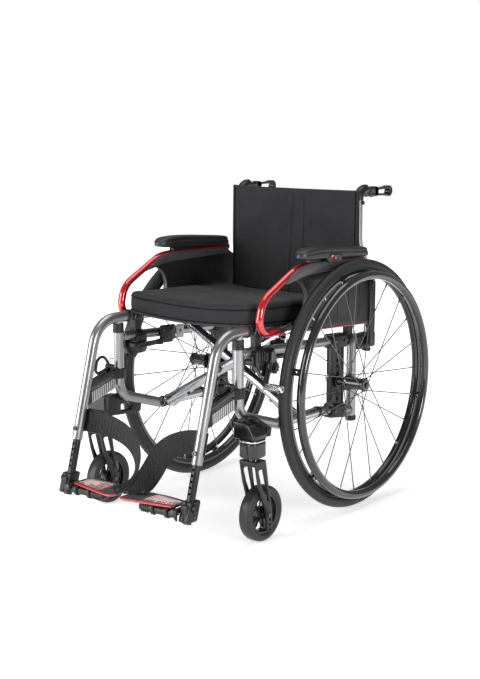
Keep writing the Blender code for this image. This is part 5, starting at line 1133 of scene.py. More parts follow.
bracket = loop_of([(-0.3880, 0.2940), (-0.3880, 0.3180), (-0.4680, 0.2953), (-0.4680, 0.2713)], 0.002)
hanger = [
    carried(hanger_line, circle(36) * (0.0112, 0.0126)),
    turned(pin_profile, post, (0, 0, 1), 28, 4),
    turned(collar_profile, post, (0, 0, 1), 36, 2, True),
    rod((*post[:2], 0.4430), (*post[:2], HANGER_TOP_Z), 0.0106),
    rod(at(-0.3450, HANGER_TOP_Z), at(-0.3350, HANGER_TOP_Z), 0.0137, 0.0022, 36, 2),
    # The base plate under the ribs is black: painted shade in the gaps between them.
    plate(bracket, FRAME_X - 0.0080, FRAME_X + 0.0080, 0.0008, mark=2),
    *ribs(),
    plate(top_bar, FRAME_X - 0.0118, FRAME_X + 0.0118, 0.0030, mark=3, steps=6),
    plate(saddle, FRAME_X - 0.0108, FRAME_X + 0.0108, 0.0020, mark=2, steps=4),
    plate(jaw, 0.3140, 0.3368, 0.0012, along=2, mark=2),
    *[plate(ear, FRAME_X + low, FRAME_X + low + 0.0038, 0.0008, mark=2) for low in (-0.0102, 0.0064)],
    pin(*LATCH_AT, FRAME_X - 0.0115, FRAME_X + 0.0115, 0.0025, 0.0008, 18, 4),
    turned(bolt_profile, at(hanger_y(0.216), 0.216), (0, -1, HANGER_LEAN), 36, 4),
]
both(
    "hanger_tube", hanger, [frame_paint, bracket_grey, black_plastic, black_gloss, bolt_steel], "legrest",
    ["hanger"],
)

loop_corners = np.array([(-0.026, -0.009), (0.0, 0.0), (-0.034, 0.048), (-0.050, -0.014), (-0.026, -0.009)])
loop_path = in_plane(FRAME_X, loop_corners + LATCH_AT)
latch = [
    tube(bent(loop_path, (0.0060, 0.0170, 0.0090), math.radians(12))[:-1], 0.0035, 18, loop=True),
    turned(bush(-0.0059, 0.0059, 0.0030, 0.0059, 0.0006, 0.0006), at(*LATCH_AT), sides=28, closed=True),
]
both("hanger_release_loop", latch, [black_gloss], "latch", ["hanger_latch"])

# Footrests. A black tube with a row of height holes slides in each hanger; a moulded clamp on its foot
# carries the hinge of a black bar, and two rings on the bar hold a smoked plate with a clear reddish pane
# and a red front edge.
HINGE_AT = (0.158, 0.097)
BAR_Y = -0.5449

acrylic = surface(
    "acrylic", (0.95, 0.66, 0.63), (0.08, 0.14), 0.0, 0.03, 300, 0.01, Transmission_Weight=0.75, IOR=1.45,
)
smoked_edge = surface("smoked_edge", (0.070, 0.060, 0.062), (0.20, 0.32), 0.0, 0.15, 900, 0.04)
red_edge = surface("red_edge", (0.70, 0.006, 0.010), (0.22, 0.34), 0.0, 0.06, 800, 0.03, Coat_Weight=0.3)


def drilled(pair, drills):
    """Cuts the same round holes through the left piece and its mirror image, and marks the new rims sharp."""
    for made, sign in zip(pair, (1, -1)):
        facing = [(points * (sign, 1, 1), faces, 0) for points, faces, _ in drills]
        cutter = piece("drill", facing, [], None)
        cut = made.modifiers.new("drilled", "BOOLEAN")
        cut.operation = "DIFFERENCE"
        cut.object = cutter
        bpy.context.view_layer.objects.active = made
        bpy.ops.object.modifier_apply(modifier=cut.name)
        bpy.data.objects.remove(cutter)
        made.data.set_sharp_from_angle(angle=0.6)


stem_line = [at(hanger_y(z), z) for z in (0.253, 0.0725)]
height_holes = [
    rod(at(hanger_y(z) - 0.0150, z), at(hanger_y(z) - 0.0040, z), 0.0030, 0, 20)
    for z in 0.185 - 0.0124 * np.arange(5)
]
stem_tube = both(
    "footrest_tube_drilled", [rod(*stem_line, 0.0094, 0.0010, 48)], [black_anodised], "legrest",
    ["footrest_tube"],
)
drilled(stem_tube, height_holes)
plug = rod(at(hanger_y(0.0740), 0.0740), at(hanger_y(0.0705), 0.0705), 0.0098, 0.0014, 36)
both("footrest_tube_plug", [plug], [black_plastic], "legrest")

clamp_outline = loop_of(
    [
        (hanger_y(0.0760) - 0.0175, 0.0760), (hanger_y(0.0760) + 0.0165, 0.0760),
        (hanger_y(0.1205) + 0.0180, 0.1205), (hanger_y(0.1205) - 0.0155, 0.1205),
    ],
    0.005,
)
hinge_ear = np.concatenate([arc(HINGE_AT, 0.0068, 90, 270, 14), [(0.1690, 0.0800), (0.1690, 0.1035)]])
knob = [
    (0, 0.0001), (0, 0.0052), (0.0014, 0.0056), (0.0016, 0.0078), (0.0024, 0.0086), (0.0072, 0.0084),
    (0.0082, 0.0074), (0.0082, 0.0040), (0.0070, 0.0034), (0.0070, 0.0001),
]
rivet_profile = [
    (0, 0.0001), (0, 0.0050), (0.0012, 0.0046), (0.0020, 0.0030), (0.0012, 0.0022), (0.0012, 0.0001),
]
foot_clamp = [
    plate(clamp_outline, FRAME_X - 0.0120, FRAME_X + 0.0004, 0.0026, steps=5),
    plate(clamp_outline, FRAME_X + 0.0012, FRAME_X + 0.0144, 0.0026, steps=5),
    box(
        (FRAME_X - 0.0080, hanger_y(0.098) - 0.0190, 0.0830),
        (FRAME_X + 0.0100, hanger_y(0.098) - 0.0060, 0.1150), 0.0030,
    ),
    *[
        plate(hinge_ear, BAR_Y + low, BAR_Y + low + 0.0056, 0.0012, along=1)
        for low in (-0.0180, 0.0124)
    ],
    rod(
        (HINGE_AT[0], BAR_Y - 0.0182, HINGE_AT[1]), (HINGE_AT[0], BAR_Y + 0.0182, HINGE_AT[1]), 0.0030,
        0.0008, 20, 1,
    ),
    *[
        turned(rivet_profile, (HINGE_AT[0], BAR_Y + side * 0.0178, HINGE_AT[1]), (0, side, 0), 24, 1)
        for side in (-1, 1)
    ],
    turned(knob, (FRAME_X + 0.0138, hanger_y(0.097), 0.1060), sides=14),
    pin(hanger_y(0.106), 0.0870, FRAME_X + 0.0138, FRAME_X + 0.0160, 0.0034, 0.0010, 20, 1),
]
both(
    "footplate_clamp", foot_clamp, [black_plastic, bolt_steel], "legrest",
    ["footplate_bracket"],
)

beam_x = np.concatenate(
    [0.0522 + 0.0060 * (1 - np.cos(np.linspace(0.15, math.pi / 2, 7))), np.linspace(0.062, 0.1500, 12)]
)
beam_full = np.concatenate([np.sin(np.linspace(0.15, math.pi / 2, 7)), np.ones(12)])[:, None, None]
beam_ring = np.sign(circle(36)) * np.abs(circle(36)) ** 0.75 * (0.0118, 0.0088)
beam_line = np.column_stack([beam_x, np.full(19, BAR_Y), np.full(19, 0.0902)])
ring_outline = loop_of(
    rectangle((BAR_Y - 0.0152, 0.0785), (BAR_Y + 0.0152, 0.1007)), (0.009, 0.009, 0.002, 0.002),
)
foot_bar = [
    carried(beam_line, beam_ring * beam_full, (0, 1, 0)),
    rod(
        (HINGE_AT[0], BAR_Y - 0.0119, HINGE_AT[1]), (HINGE_AT[0], BAR_Y + 0.0119, HINGE_AT[1]), 0.0062,
        0.0010, 28,
    ),
    box((0.1440, BAR_Y - 0.0112, 0.0845), (0.1560, BAR_Y + 0.0112, 0.0985), 0.0030),
    *[plate(ring_outline, x - 0.0042, x + 0.0042, 0.0014) for x in (0.136, 0.096)],
    *[
        rod((x, BAR_Y + side * 0.0150, 0.0955), (x, BAR_Y + side * 0.0172, 0.0955), 0.0026, 0.0008, 16, 1)
        for x in (0.136, 0.096) for side in (-1, 1)
    ],
    *[
        box((x - 0.0012, BAR_Y - 0.0124, 0.0810), (x + 0.0012, BAR_Y + 0.0124, 0.0990), 0.0009)
        for x in (0.064, 0.070, 0.076, 0.082)
    ],
]
both(
    "footplate_bar_moulded", foot_bar, [black_plastic, bolt_steel], "foot",
    ["footplate_bar"],
)

plate_front, plate_rear = BAR_Y - 0.028, BAR_Y + 0.049
front_line = [
    (0.0100, plate_front + 0.014), (0.0140, plate_front + 0.003), (0.0260, plate_front),
    (0.0800, plate_front + 0.0100), (0.1460, plate_front + 0.0230), (0.1500, plate_front + 0.0300),
]
rim_outline = loop_of(
    front_line + [
        (0.1500, plate_rear - 0.014), (0.1380, plate_rear - 0.004), (0.0900, plate_rear),
        (0.0360, plate_rear - 0.004), (0.0140, plate_rear - 0.022),
    ],
    (0.003, 0.004, 0.010, 0.20, 0.005, 0.003, 0.006, 0.010, 0.10, 0.020, 0.010),
)
pane_outline = loop_of(
    [
        (0.0600, plate_rear - 0.006), (0.0600, plate_front + 0.0125), (0.1440, plate_front + 0.0300),
        (0.1440, plate_rear - 0.016), (0.1360, plate_rear - 0.010),
    ],
    (0.008, 0.004, 0.003, 0.003, 0.006),
)
both(
    "footplate_rim", [plate(rim_outline, 0.1012, 0.1070, 0.0014, holes=[pane_outline], along=2, steps=4)],
    [smoked_edge], "foot", ["footplate"],
)
pane_inner = loop_of(
    [
        (0.0602, plate_rear - 0.0062), (0.0602, plate_front + 0.0127), (0.1438, plate_front + 0.0302),
        (0.1438, plate_rear - 0.0161), (0.1359, plate_rear - 0.0102),
    ],
    (0.008, 0.004, 0.003, 0.003, 0.006),
)
both("footplate_pane", [plate(pane_inner, 0.1020, 0.1056, 0.0006, along=2)], [acrylic], "foot")
edge_corners = np.column_stack([front_line, np.full(6, 0.1046)])[:5] + (0, -0.0006, 0)
edge_line = bent(edge_corners, (0.004, 0.010, 0.20))
both("footplate_red_edge", [tube(edge_line, 0.0017, 12, (0, 0, 1))], [red_edge], "foot")

# Heel straps. Wide black webbing, ribbed along its length, starts on the outer side of each hanger tube,
# passes behind it and goes down behind the heel to the inner end of the footplate. A bar holds it there.
webbing = woven("webbing", (0.010, 0.010, 0.0105), 0.0032, 0.50, 0.04, 1.0, 0.0007, twill=True, worn=0.5)


def spline(points, steps=14):
    """A smooth line through points: each span is a cubic whose end slopes come from the points beside it."""
    points = np.asarray(points, float)
    slope = np.gradient(points, axis=0)
    t = np.linspace(0, 1, steps, endpoint=False)[:, None]
    first, last = points[:-1, None], points[1:, None]
    blend_in = t * t * (3 - 2 * t)
    line = first + (last - first) * blend_in
    line = line + slope[:-1, None] * t * (1 - t) ** 2 + slope[1:, None] * t * t * (t - 1)
    return np.concatenate([line.reshape(-1, points.shape[1]), points[-1:]])


STRAP_HALF = 0.0255
STRAP_END = (0.77, 0.64, 0)


def strap():
    """Rings round a band of one width along a smooth line, with ribs on both faces, and the line's length."""
    down = np.array([0, -HANGER_LEAN, -1]) / math.hypot(1, HANGER_LEAN)
    behind = np.array([0, 1, -HANGER_LEAN]) / math.hypot(1, HANGER_LEAN)
    core = at(hanger_y(0.236), 0.236)
    around = np.radians([[15], [40], [65], [90]])
    wrap = core + np.array([0.0128, 0, 0]) * np.cos(around) + behind * 0.0145 * np.sin(around)
    places = [
        *wrap,
        (0.166, -0.4822, 0.2345), (0.140, -0.472, 0.2305), (0.105, -0.4625, 0.2215),
        (0.072, -0.459, 0.2085), (0.047, -0.461, 0.1910), (0.031, -0.466, 0.168), (0.0225, -0.476, 0.146),
        (0.0195, -0.494, 0.1275), (0.0215, -0.518, 0.1140), (0.0285, -0.5360, 0.1090),
    ]
    leans = [down] * 5 + [
        (0, -0.12, -1), (0.06, 0, -1), (0.2, 0.05, -0.97), (0.42, 0.15, -0.85), (0.60, 0.30, -0.70),
        (0.68, 0.42, -0.50), (0.74, 0.52, -0.26), STRAP_END, STRAP_END,
    ]
    line = spline(places)
    ahead = unit(np.gradient(line, axis=0))
    wide = spline(np.array(leans, float))
    wide = unit(wide - ahead * (wide * ahead).sum(1, keepdims=True))
    normal = np.cross(ahead, wide)
    across = np.linspace(-1, 1, 103)
    ribs = 0.0009 + 0.00028 * np.cos(across * math.pi * 17)
    rim = np.clip((1 - np.abs(across)) / 0.03, 0, 1) ** 0.5
    lift = (ribs * (0.35 + 0.65 * rim))[None, :, None]
    middle = line[:, None] + wide[:, None] * across[:, None] * STRAP_HALF
    upper, lower = middle + normal[:, None] * lift, middle - normal[:, None] * lift
    length = float(np.linalg.norm(np.diff(line, axis=0), axis=1).sum())
    return np.concatenate([upper, lower[:, ::-1]], axis=1), length


strap_rings, STRAP_LENGTH = strap()
STRAP_FOOT = np.array([0.0285, -0.5360])
beside, onward = unit(np.array(STRAP_END[:2])), unit(np.array([STRAP_END[1], -STRAP_END[0]]))
holder_corners = [
    STRAP_FOOT + beside * s * 0.0265 + onward * t
    for s, t in ((-1, -0.006), (1, -0.006), (1, 0.005), (-1, 0.005))
]
screw_profile = [(0, 0.0001), (0, 0.0030), (0.0010, 0.0026), (0.0016, 0.0014), (0.0010, 0.0001)]
holder = [
    plate(loop_of(holder_corners, 0.002), 0.1096, 0.1128, 0.0010, along=2),
    *[
        turned(screw_profile, (*(STRAP_FOOT + beside * s), 0.1127), (0, 0, 1), 20, 1)
        for s in (-0.018, 0.018)
    ],
]
straps = both("heel_strap_webbing", [skin(strap_rings)], [webbing], None, ["heel_strap"])
both("heel_strap_bar", holder, [black_plastic, bolt_steel], "foot")
for side, sign, webbing_piece in (("left", 1, straps[0]), ("right", -1, straps[1])):
    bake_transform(webbing_piece)

# Brakes. A glossy black housing with upright ridges sits outside the upper rail over a saddle. A toothed
# cam and a round bolt show at its side, an arm hangs down with a knurled bright shoe, and a black hand
# lever lies inboard.
BRAKE_AT = (-0.300, 0.379)
SHOE_AT = (-0.313, 0.335)
RAIL_FOOT = rail_z(-0.300) - TUBE_R
LEVER_AT = (-0.318, RAIL_FOOT - 0.012)

housing_x = FRAME_X + TUBE_R + 0.0004
housing_outline = loop_of(
    [
        (-0.3355, 0.4165), (-0.3355, 0.3810), (-0.3150, 0.3570), (-0.2960, 0.3490), (-0.2880, 0.3580),
        (-0.2610, 0.3590), (-0.2550, 0.3690), (-0.2600, 0.3815), (-0.2720, 0.4165),
    ],
    (0.004, 0.010, 0.006, 0.004, 0.003, 0.004, 0.006, 0.010, 0.012), math.radians(8),
)
cam_turn = np.linspace(0, 2 * math.pi, 96, endpoint=False)
cam_reach = 0.0125 + 0.0012 * np.clip(np.cos(cam_turn * 9) * 2.5, -1, 1)
cam_outline = circle(96) * cam_reach[:, None] + (-0.2700, 0.3700)
bolt_head = [
    (0, 0.0001), (0, 0.0078), (0.0012, 0.0078), (0.0028, 0.0066), (0.0032, 0.0040), (0.0020, 0.0034),
    (0.0020, 0.0001),
]
cam_bolt = [
    (0, 0.0001), (0, 0.0052), (0.0016, 0.0050), (0.0022, 0.0036), (0.0012, 0.0030), (0.0012, 0.0001),
]
brake = [
    plate(housing_outline, housing_x, 0.2070, 0.0032, steps=6),
    *[
        box((0.2040, y, 0.3900), (0.2098, y + 0.0042, 0.4130), 0.0012, 0)
        for y in (-0.3300, -0.3215, -0.3130)
    ],
    box((0.2040, -0.3040, 0.3860), (0.2092, -0.2790, 0.4110), 0.0024, 0),
    plate(cam_outline, 0.1990, 0.2088, 0.0008, mark=1),
    turned(cam_bolt, (0.2086, -0.2700, 0.3700), sides=28, mark=2),
    pin(*BRAKE_AT, 0.2060, 0.2162, 0.0045, 0.0006, 24, 2),
    turned([(a * 0.6, r * 0.95) for a, r in bolt_head], at(*BRAKE_AT, 0.2146), sides=36, mark=2),
    pin(-0.3220, 0.3700, 0.2065, 0.2092, 0.0034, 0.0010, 20, 3),
    pin(-0.2890, 0.3640, 0.2065, 0.2090, 0.0030, 0.0010, 20, 2),
    box(
        (FRAME_X - TUBE_R - 0.0050, -0.3200, RAIL_FOOT - 0.0055),
        (FRAME_X - TUBE_R - 0.0004, -0.2860, RAIL_FOOT + TUBE_R + 0.0020), 0.0018, 1,
    ),
    box(
        (FRAME_X - TUBE_R - 0.0050, -0.3200, RAIL_FOOT - 0.0058),
        (housing_x + 0.0030, -0.2860, RAIL_FOOT - 0.0010), 0.0014, 1,
    ),
    *[
        rod(at(y, RAIL_FOOT - 0.0056), at(y, RAIL_FOOT - 0.0088), 0.0034, 0.0008, 18, 2)
        for y in (-0.3120, -0.2940)
    ],
    pin(*LEVER_AT, 0.1595, 0.1945, 0.0029, 0.0006, 20, 2),
    pin(*LEVER_AT, 0.1645, 0.1945, 0.0074, 0.0012, 28, 1),
]
both(
    "brake_housing", brake, [black_gloss, black_plastic, bolt_steel, bright_metal], "frame",
    ["brake_body"],
)

arm_hang = loop_of(
    np.concatenate(
        [
            arc(BRAKE_AT, 0.0095, -10, 190, 14), [(-0.3125, 0.3620), (-0.3215, 0.3420)],
            arc(SHOE_AT, 0.0085, 180, 360, 14), [(-0.3035, 0.3450), (-0.2950, 0.3640)],
        ]
    ),
    0.0,
)
knurl_rows = np.array([
    (0.2104, 0.0070, 0), (0.2110, 0.0080, 0), (0.2122, 0.0085, 0), (0.2130, 0.0085, 0), (0.2134, 0.0083, 1),
    (0.2550, 0.0083, 1), (0.2556, 0.0085, 0), (0.2562, 0.0085, 0), (0.2590, 0.0083, 0), (0.2597, 0.0072, 0),
    (0.2597, 0.0020, 0),
])
knurl_x, knurl_reach, fluted = knurl_rows.T[..., None]
flutes = 0.00045 * np.cos(np.linspace(0, 2 * math.pi, 144, endpoint=False) * 18) * fluted
knurl_rings = SHOE_AT + circle(144) * (knurl_reach + flutes)[..., None]
knurled = np.insert(knurl_rings, 0, knurl_x, axis=2)
shoe_bolt = [(0, 0.0001), (0, 0.0036), (0.0008, 0.0036), (0.0010, 0.0020), (0.0010, 0.0001)]
shoe = [
    plate(arm_hang, 0.2101, 0.2134, 0.0008, holes=[round_hole(BRAKE_AT, 0.0049)], mark=1),
    skin(knurled),
    turned(shoe_bolt, at(*SHOE_AT, 0.2594), sides=6, mark=2),
]
both(
    "brake_shoe_knurled", shoe, [bright_metal, black_plastic, bolt_steel], "shoe",
    ["brake_shoe"],
)

lever_outline = loop_of(
    [
        (LEVER_AT[0] - 0.0078, LEVER_AT[1] - 0.0072), (LEVER_AT[0] + 0.0600, LEVER_AT[1] - 0.0052),
        (LEVER_AT[0] + 0.0850, LEVER_AT[1] - 0.0086), (LEVER_AT[0] + 0.0850, LEVER_AT[1] + 0.0086),
        (LEVER_AT[0] + 0.0600, LEVER_AT[1] + 0.0062), (LEVER_AT[0] - 0.0078, LEVER_AT[1] + 0.0072),
    ],
    (0.0070, 0.03, 0.0060, 0.0060, 0.03, 0.0070),
)
lever = [
    plate(lever_outline, 0.1592, 0.1638, 0.0014, holes=[round_hole(LEVER_AT, 0.0034)], steps=4),
    *[
        box(
            (0.1580, LEVER_AT[0] + y, LEVER_AT[1] - 0.0062),
            (0.1598, LEVER_AT[0] + y + 0.0024, LEVER_AT[1] + 0.0062), 0.0006, 0,
        )
        for y in (0.064, 0.069, 0.074, 0.079)
    ],
]
both("brake_lever_grip", lever, [black_plastic], "lever", ["brake_lever"])

# Seat stops on the inner side of the upper rails. Each is a black moulded plate with a rib under the rail,
# held by two screws, and a thinner pale grey plate with one screw behind it.
STOP_X = FRAME_X - TUBE_R - 0.0003
STOP_THICK = 0.0042
STRIP_THICK = 0.0026


def by_rail(corners):
    """Places in the side view, given by their height over the upper rail's centre line."""
    return [(y, rail_z(y) + z) for y, z in corners]


stop_outline = loop_of(by_rail(rectangle((-0.238, -0.0190), (-0.184, 0.0180))), 0.005)
stop_rib = loop_of(by_rail([(-0.230, -0.025), (-0.196, -0.025), (-0.190, -0.017), (-0.234, -0.017)]), 0.003)
strip_outline = loop_of(by_rail(rectangle((-0.178, -0.0175), (-0.152, 0.0165))), 0.003)
stops = [
    plate(stop_outline, STOP_X - STOP_THICK, STOP_X, 0.0010, steps=4),
    plate(strip_outline, STOP_X - STRIP_THICK, STOP_X, 0.0010, mark=1, steps=4),
    plate(stop_rib, STOP_X - STOP_THICK, STOP_X + 0.0060, 0.0012, steps=4),
]
for y, z, thick in ((-0.226, 0.006, STOP_THICK), (-0.196, 0.006, STOP_THICK), (-0.165, 0, STRIP_THICK)):
    face = STOP_X - thick
    stops.append(pin(y, rail_z(y) + z, face - 0.0016, face + 0.0006, 0.0038, 0.0010, 20, 2))
both("seat_stop_moulded", stops, [black_plastic, bracket_grey, bolt_steel], "frame")

# Armrests. A bent tube under clear red enamel with a black end cap, and a black moulded side guard below
# it. The guard's top is a flange that hugs the tube, its opening has a rolled lip, and a red bead runs
# along its foot. The flange and the lip are a lighter grey than the guard: a painted highlight.
ARM_X = 0.207
ARM_LOW_Z = 0.450
ARM_HIGH_Z = 0.587
ARM_PIVOT = (0.110, 0.378)
OPENING_AT = (-0.214, 0.512)

red_enamel = surface(
    "red_enamel", (0.58, 0.002, 0.006), (0.20, 0.26), 0.6, 0.06, 2200, 0.03, 12, Coat_Weight=1.0,
    Coat_Roughness=0.08, Coat_IOR=1.7,
)
guard_plastic = surface(
    "guard_plastic", (0.012, 0.012, 0.013), (0.34, 0.46), 0.0, 0.22, 1300, 0.10, Specular_IOR_Level=0.45,
)
# A lighter grey copy of the guard's black plastic for the flange, the lip and the thin edge tube: a painted
# highlight.
lip_painted_highlight = surface("lip_painted_highlight", (0.075, 0.075, 0.080), (0.26, 0.36), 0.1, 0.12, 1500, 0.05)

arm_corners = [
    (-0.262, ARM_LOW_Z), (-0.336, ARM_LOW_Z), (-0.318, 0.523), (-0.190, ARM_HIGH_Z), (0.062, ARM_HIGH_Z),
]
arm_line = bent(in_plane(ARM_X, arm_corners), (0.032, 0.060, 0.160), math.radians(4))
arm_radius = np.interp(arm_line[:, 2], [0.49, 0.57], [0.0090, 0.0077])
arm_tube = [
    tube(arm_line, arm_radius, 36),
    rod(at(-0.2625, ARM_LOW_Z, ARM_X), at(-0.2560, ARM_LOW_Z, ARM_X), 0.0086, 0.0024, 32, 1),
    rod(at(-0.2640, ARM_LOW_Z, ARM_X), at(-0.2612, ARM_LOW_Z, ARM_X), 0.0094, 0.0008, 32, 1),
    rod(at(0.0600, ARM_HIGH_Z, ARM_X), at(0.0655, ARM_HIGH_Z, ARM_X), 0.0089, 0.0020, 32, 1),
]
both("armrest_tube_enamelled", arm_tube, [red_enamel, black_plastic], "armrest", ["armrest_tube"])


def upper_run(y):
    """Points on the upper run of the arm tube's centre line, at the given places along Y."""
    upper = arm_line[arm_line[:, 2] > 0.53]
    return np.column_stack([np.full(len(y), ARM_X), y, np.interp(y, upper[:, 1], upper[:, 2])])


def flange(side):
    """A wedge that leans out beside the tube: from a rounded tip it climbs until it hides half the tube."""
    y = np.concatenate(
        [-0.2430 + 0.006 * (1 - np.cos(np.linspace(0.1, math.pi / 2, 8))), np.linspace(-0.235, 0.0590, 80)]
    )
    line = upper_run(y)
    full = np.clip((y + 0.2434) / 0.006, 0.02, 1) ** 0.5
    top = np.interp(
        y, [-0.243, -0.2396, -0.2323, -0.2103, -0.196, -0.12, -0.08, 0.059],
        [-0.0045, -0.0005, 0.0008, 0.0032, 0.0055, 0.0060, 0.0044, 0.0030],
    )
    foot = np.interp(
        y, [-0.243, -0.2421, -0.235, -0.2127, -0.198, -0.179, -0.16, -0.12, 0.059],
        [-0.0055, -0.0070, -0.0098, -0.0161, -0.0176, -0.0191, -0.0195, -0.0185, -0.0160],
    )
    reach = (0.0125 if side > 0 else 0.0092) * full
    top = top - 0.0035 * (side < 0)
    section = []
    for out, height in (
        (-0.04, -0.0085 + 0 * y), (0.70, top - 0.0004), (0.80, top), (0.92, top - 0.0006),
        (1.0, top - 0.0024), (1.02, (top + foot) / 2), (0.97, foot + 0.0012), (0.88, foot),
        (-0.04, foot + 0.0015),
    ):
        section.append(line + np.column_stack([side * reach * out, 0 * y, height]))
    return skin(np.stack(section, axis=1), mark=1)


top_line = upper_run(np.linspace(-0.206, 0.0640, 40))[:, 1:]
top_ahead = unit(np.gradient(top_line, axis=0))
guard_top = top_line - np.column_stack([-top_ahead[:, 1], top_ahead[:, 0]]) * 0.0085
guard_outline = np.concatenate(
    [
        arc(OPENING_AT, 0.046, 82, -72, 34),
        loop_of(
            [(-0.2000, 0.4660), (-0.2300, 0.4580), (-0.2600, 0.4560), (-0.2600, 0.4412), (-0.2100, 0.4412)],
            (0.01, 0.02, 0.002, 0.002, 0.02),
        )[1:],
        [(-0.0520, 0.4332), (0.0860, 0.4262), (0.0985, 0.3880)], arc(ARM_PIVOT, 0.0110, 200, 340, 16),
        [
            (0.1205, 0.3980), (0.1215, 0.4330), (0.1225, 0.5100), (0.1170, 0.5380), (0.0960, 0.5620),
            (0.0680, 0.5780),
        ],
        guard_top[::-1],
    ]
)
lip_line = in_plane(ARM_X + 0.0055, arc(OPENING_AT, 0.0472, 84, -78, 40))
lip_share = np.linspace(0, 1, 41)
lip_wide = 0.0062 * np.clip((lip_share + 0.02) / 0.10, 0.25, 1) * np.clip((1.03 - lip_share) / 0.45, 0.25, 1)
lip_ring = circle(14)[None] * np.stack([lip_wide, np.full(41, 0.0012)], axis=1)[:, None]
foot_edge = bent(
    in_plane(ARM_X, [(-0.2590, 0.4405), (-0.2100, 0.4405), (-0.0520, 0.4325), (0.0900, 0.4255)]),
    (0.05, 0.3),
)
column = loop_of(
    [
        (0.0960, 0.5560), (0.0965, 0.4300), (0.1010, 0.3760), (0.1190, 0.3760), (0.1210, 0.4300),
        (0.1215, 0.5250),
    ],
    (0.008, 0.03, 0.009, 0.009, 0.03, 0.014),
)
pivot_ring = [
    (-0.0124, 0.0050), (-0.0124, 0.0088), (-0.0116, 0.0095), (-0.0008, 0.0095), (-0.0008, 0.0050),
]
guard = [
    plate(guard_outline, ARM_X - 0.0013, ARM_X + 0.0013, 0.0006),
    # The lip, both flanges and the thin edge tube take mark 1, the lighter grey of the painted highlight.
    carried(lip_line, lip_ring, mark=1),
    flange(1),
    flange(-1),
    tube(foot_edge, 0.0015, 12, mark=2),
    tube(in_plane(ARM_X, [(-0.2150, 0.4630), (-0.2420, 0.4578), (-0.2590, 0.4562)]), 0.0014, 10, mark=1),
    plate(column, ARM_X + 0.0010, ARM_X + 0.0048, 0.0014),
    *[
        box(
            (ARM_X + 0.0008, -0.170 + 0.045 * i, 0.4560 - 0.002 * i),
            (ARM_X + 0.0022, -0.1675 + 0.045 * i, 0.5560), 0.0006, 0,
        )
        for i in (2, 3, 4, 5)
    ],
    turned(pivot_ring, at(*ARM_PIVOT, ARM_X), sides=36, closed=True),
]
both(
    "side_guard_moulded", guard, [guard_plastic, lip_painted_highlight, red_edge], "armrest",
    ["side_guard"],
)

# Arm pads. A moulded foam pad with a soft nose and a crowned top sits on the tube; a fine groove divides
# its top from its sides. A black latch is let in to its outer side, with a red push button in the middle.
PAD_X = 0.213
PAD_BUTTON_Y = -0.085

pad_foam = surface("pad_foam", (0.018, 0.018, 0.019), (0.30, 0.42), 0.0, 0.16, 1900, 0.12)


def pad_form():
    """Sections along the pad: a base with upright cheeks, a crease and a crowned cap, round at the nose."""
    y = np.concatenate(
        [
            -0.198 + 0.030 * (1 - np.cos(np.linspace(0.02, math.pi / 2, 16))),
            np.linspace(-0.166, 0.046, 40), 0.0475 + 0.0095 * np.sin(np.linspace(0, math.pi / 2, 8)),
        ]
    )
    nose, tail = np.clip((y + 0.198) / 0.032, 0.0002, 1), np.clip((0.057 - y) / 0.010, 0.0002, 1)
    wide = 0.0215 * np.sqrt(1 - (1 - nose) ** 2) - 0.0060 * (1 - np.sqrt(1 - (1 - tail) ** 2))
    low = np.interp(y, [-0.198, -0.186, -0.165, -0.044, 0.057], [0.6075, 0.6040, 0.6025, 0.5975, 0.5925])
    top = np.interp(
        y, [-0.198, -0.194, -0.183, -0.166, -0.140, -0.110, -0.067, 0.0225, 0.050],
        [0.6150, 0.6200, 0.6245, 0.6275, 0.6285, 0.6280, 0.6252, 0.6178, 0.6150],
    )
    top = top - 0.0060 * (1 - np.sqrt(1 - (1 - tail) ** 2))
    waist = low + 0.56 * (top - low)
    proud = 0.91 + 0.09 * np.clip((y + 0.174) / 0.010, 0, 1)
    half = [
        (0, low, 1), (0.55, low, 1), (0.84, low + 0.0002, proud), (0.965, low + 0.0016, proud),
        (1.0, low + 0.0045, proud), (1.0, waist - 0.0035, proud), (0.995, waist - 0.0016, proud),
        (0.965, waist - 0.0004, proud), (0.885, waist, 1), (0.870, waist + 0.0008, 1),
        (0.885, waist + 0.0022, 1), (0.880, top - 0.0052, 1), (0.830, top - 0.0026, 1),
        (0.70, top - 0.0009, 1), (0.40, top - 0.0001, 1), (0, top, 1),
    ]
    outer = [np.column_stack([PAD_X + wide * out * part, y, height]) for out, height, part in half]
    inner = [np.column_stack([PAD_X - wide * out * part, y, height]) for out, height, part in half[-2:0:-1]]
    return skin(np.stack(outer + inner, axis=1))


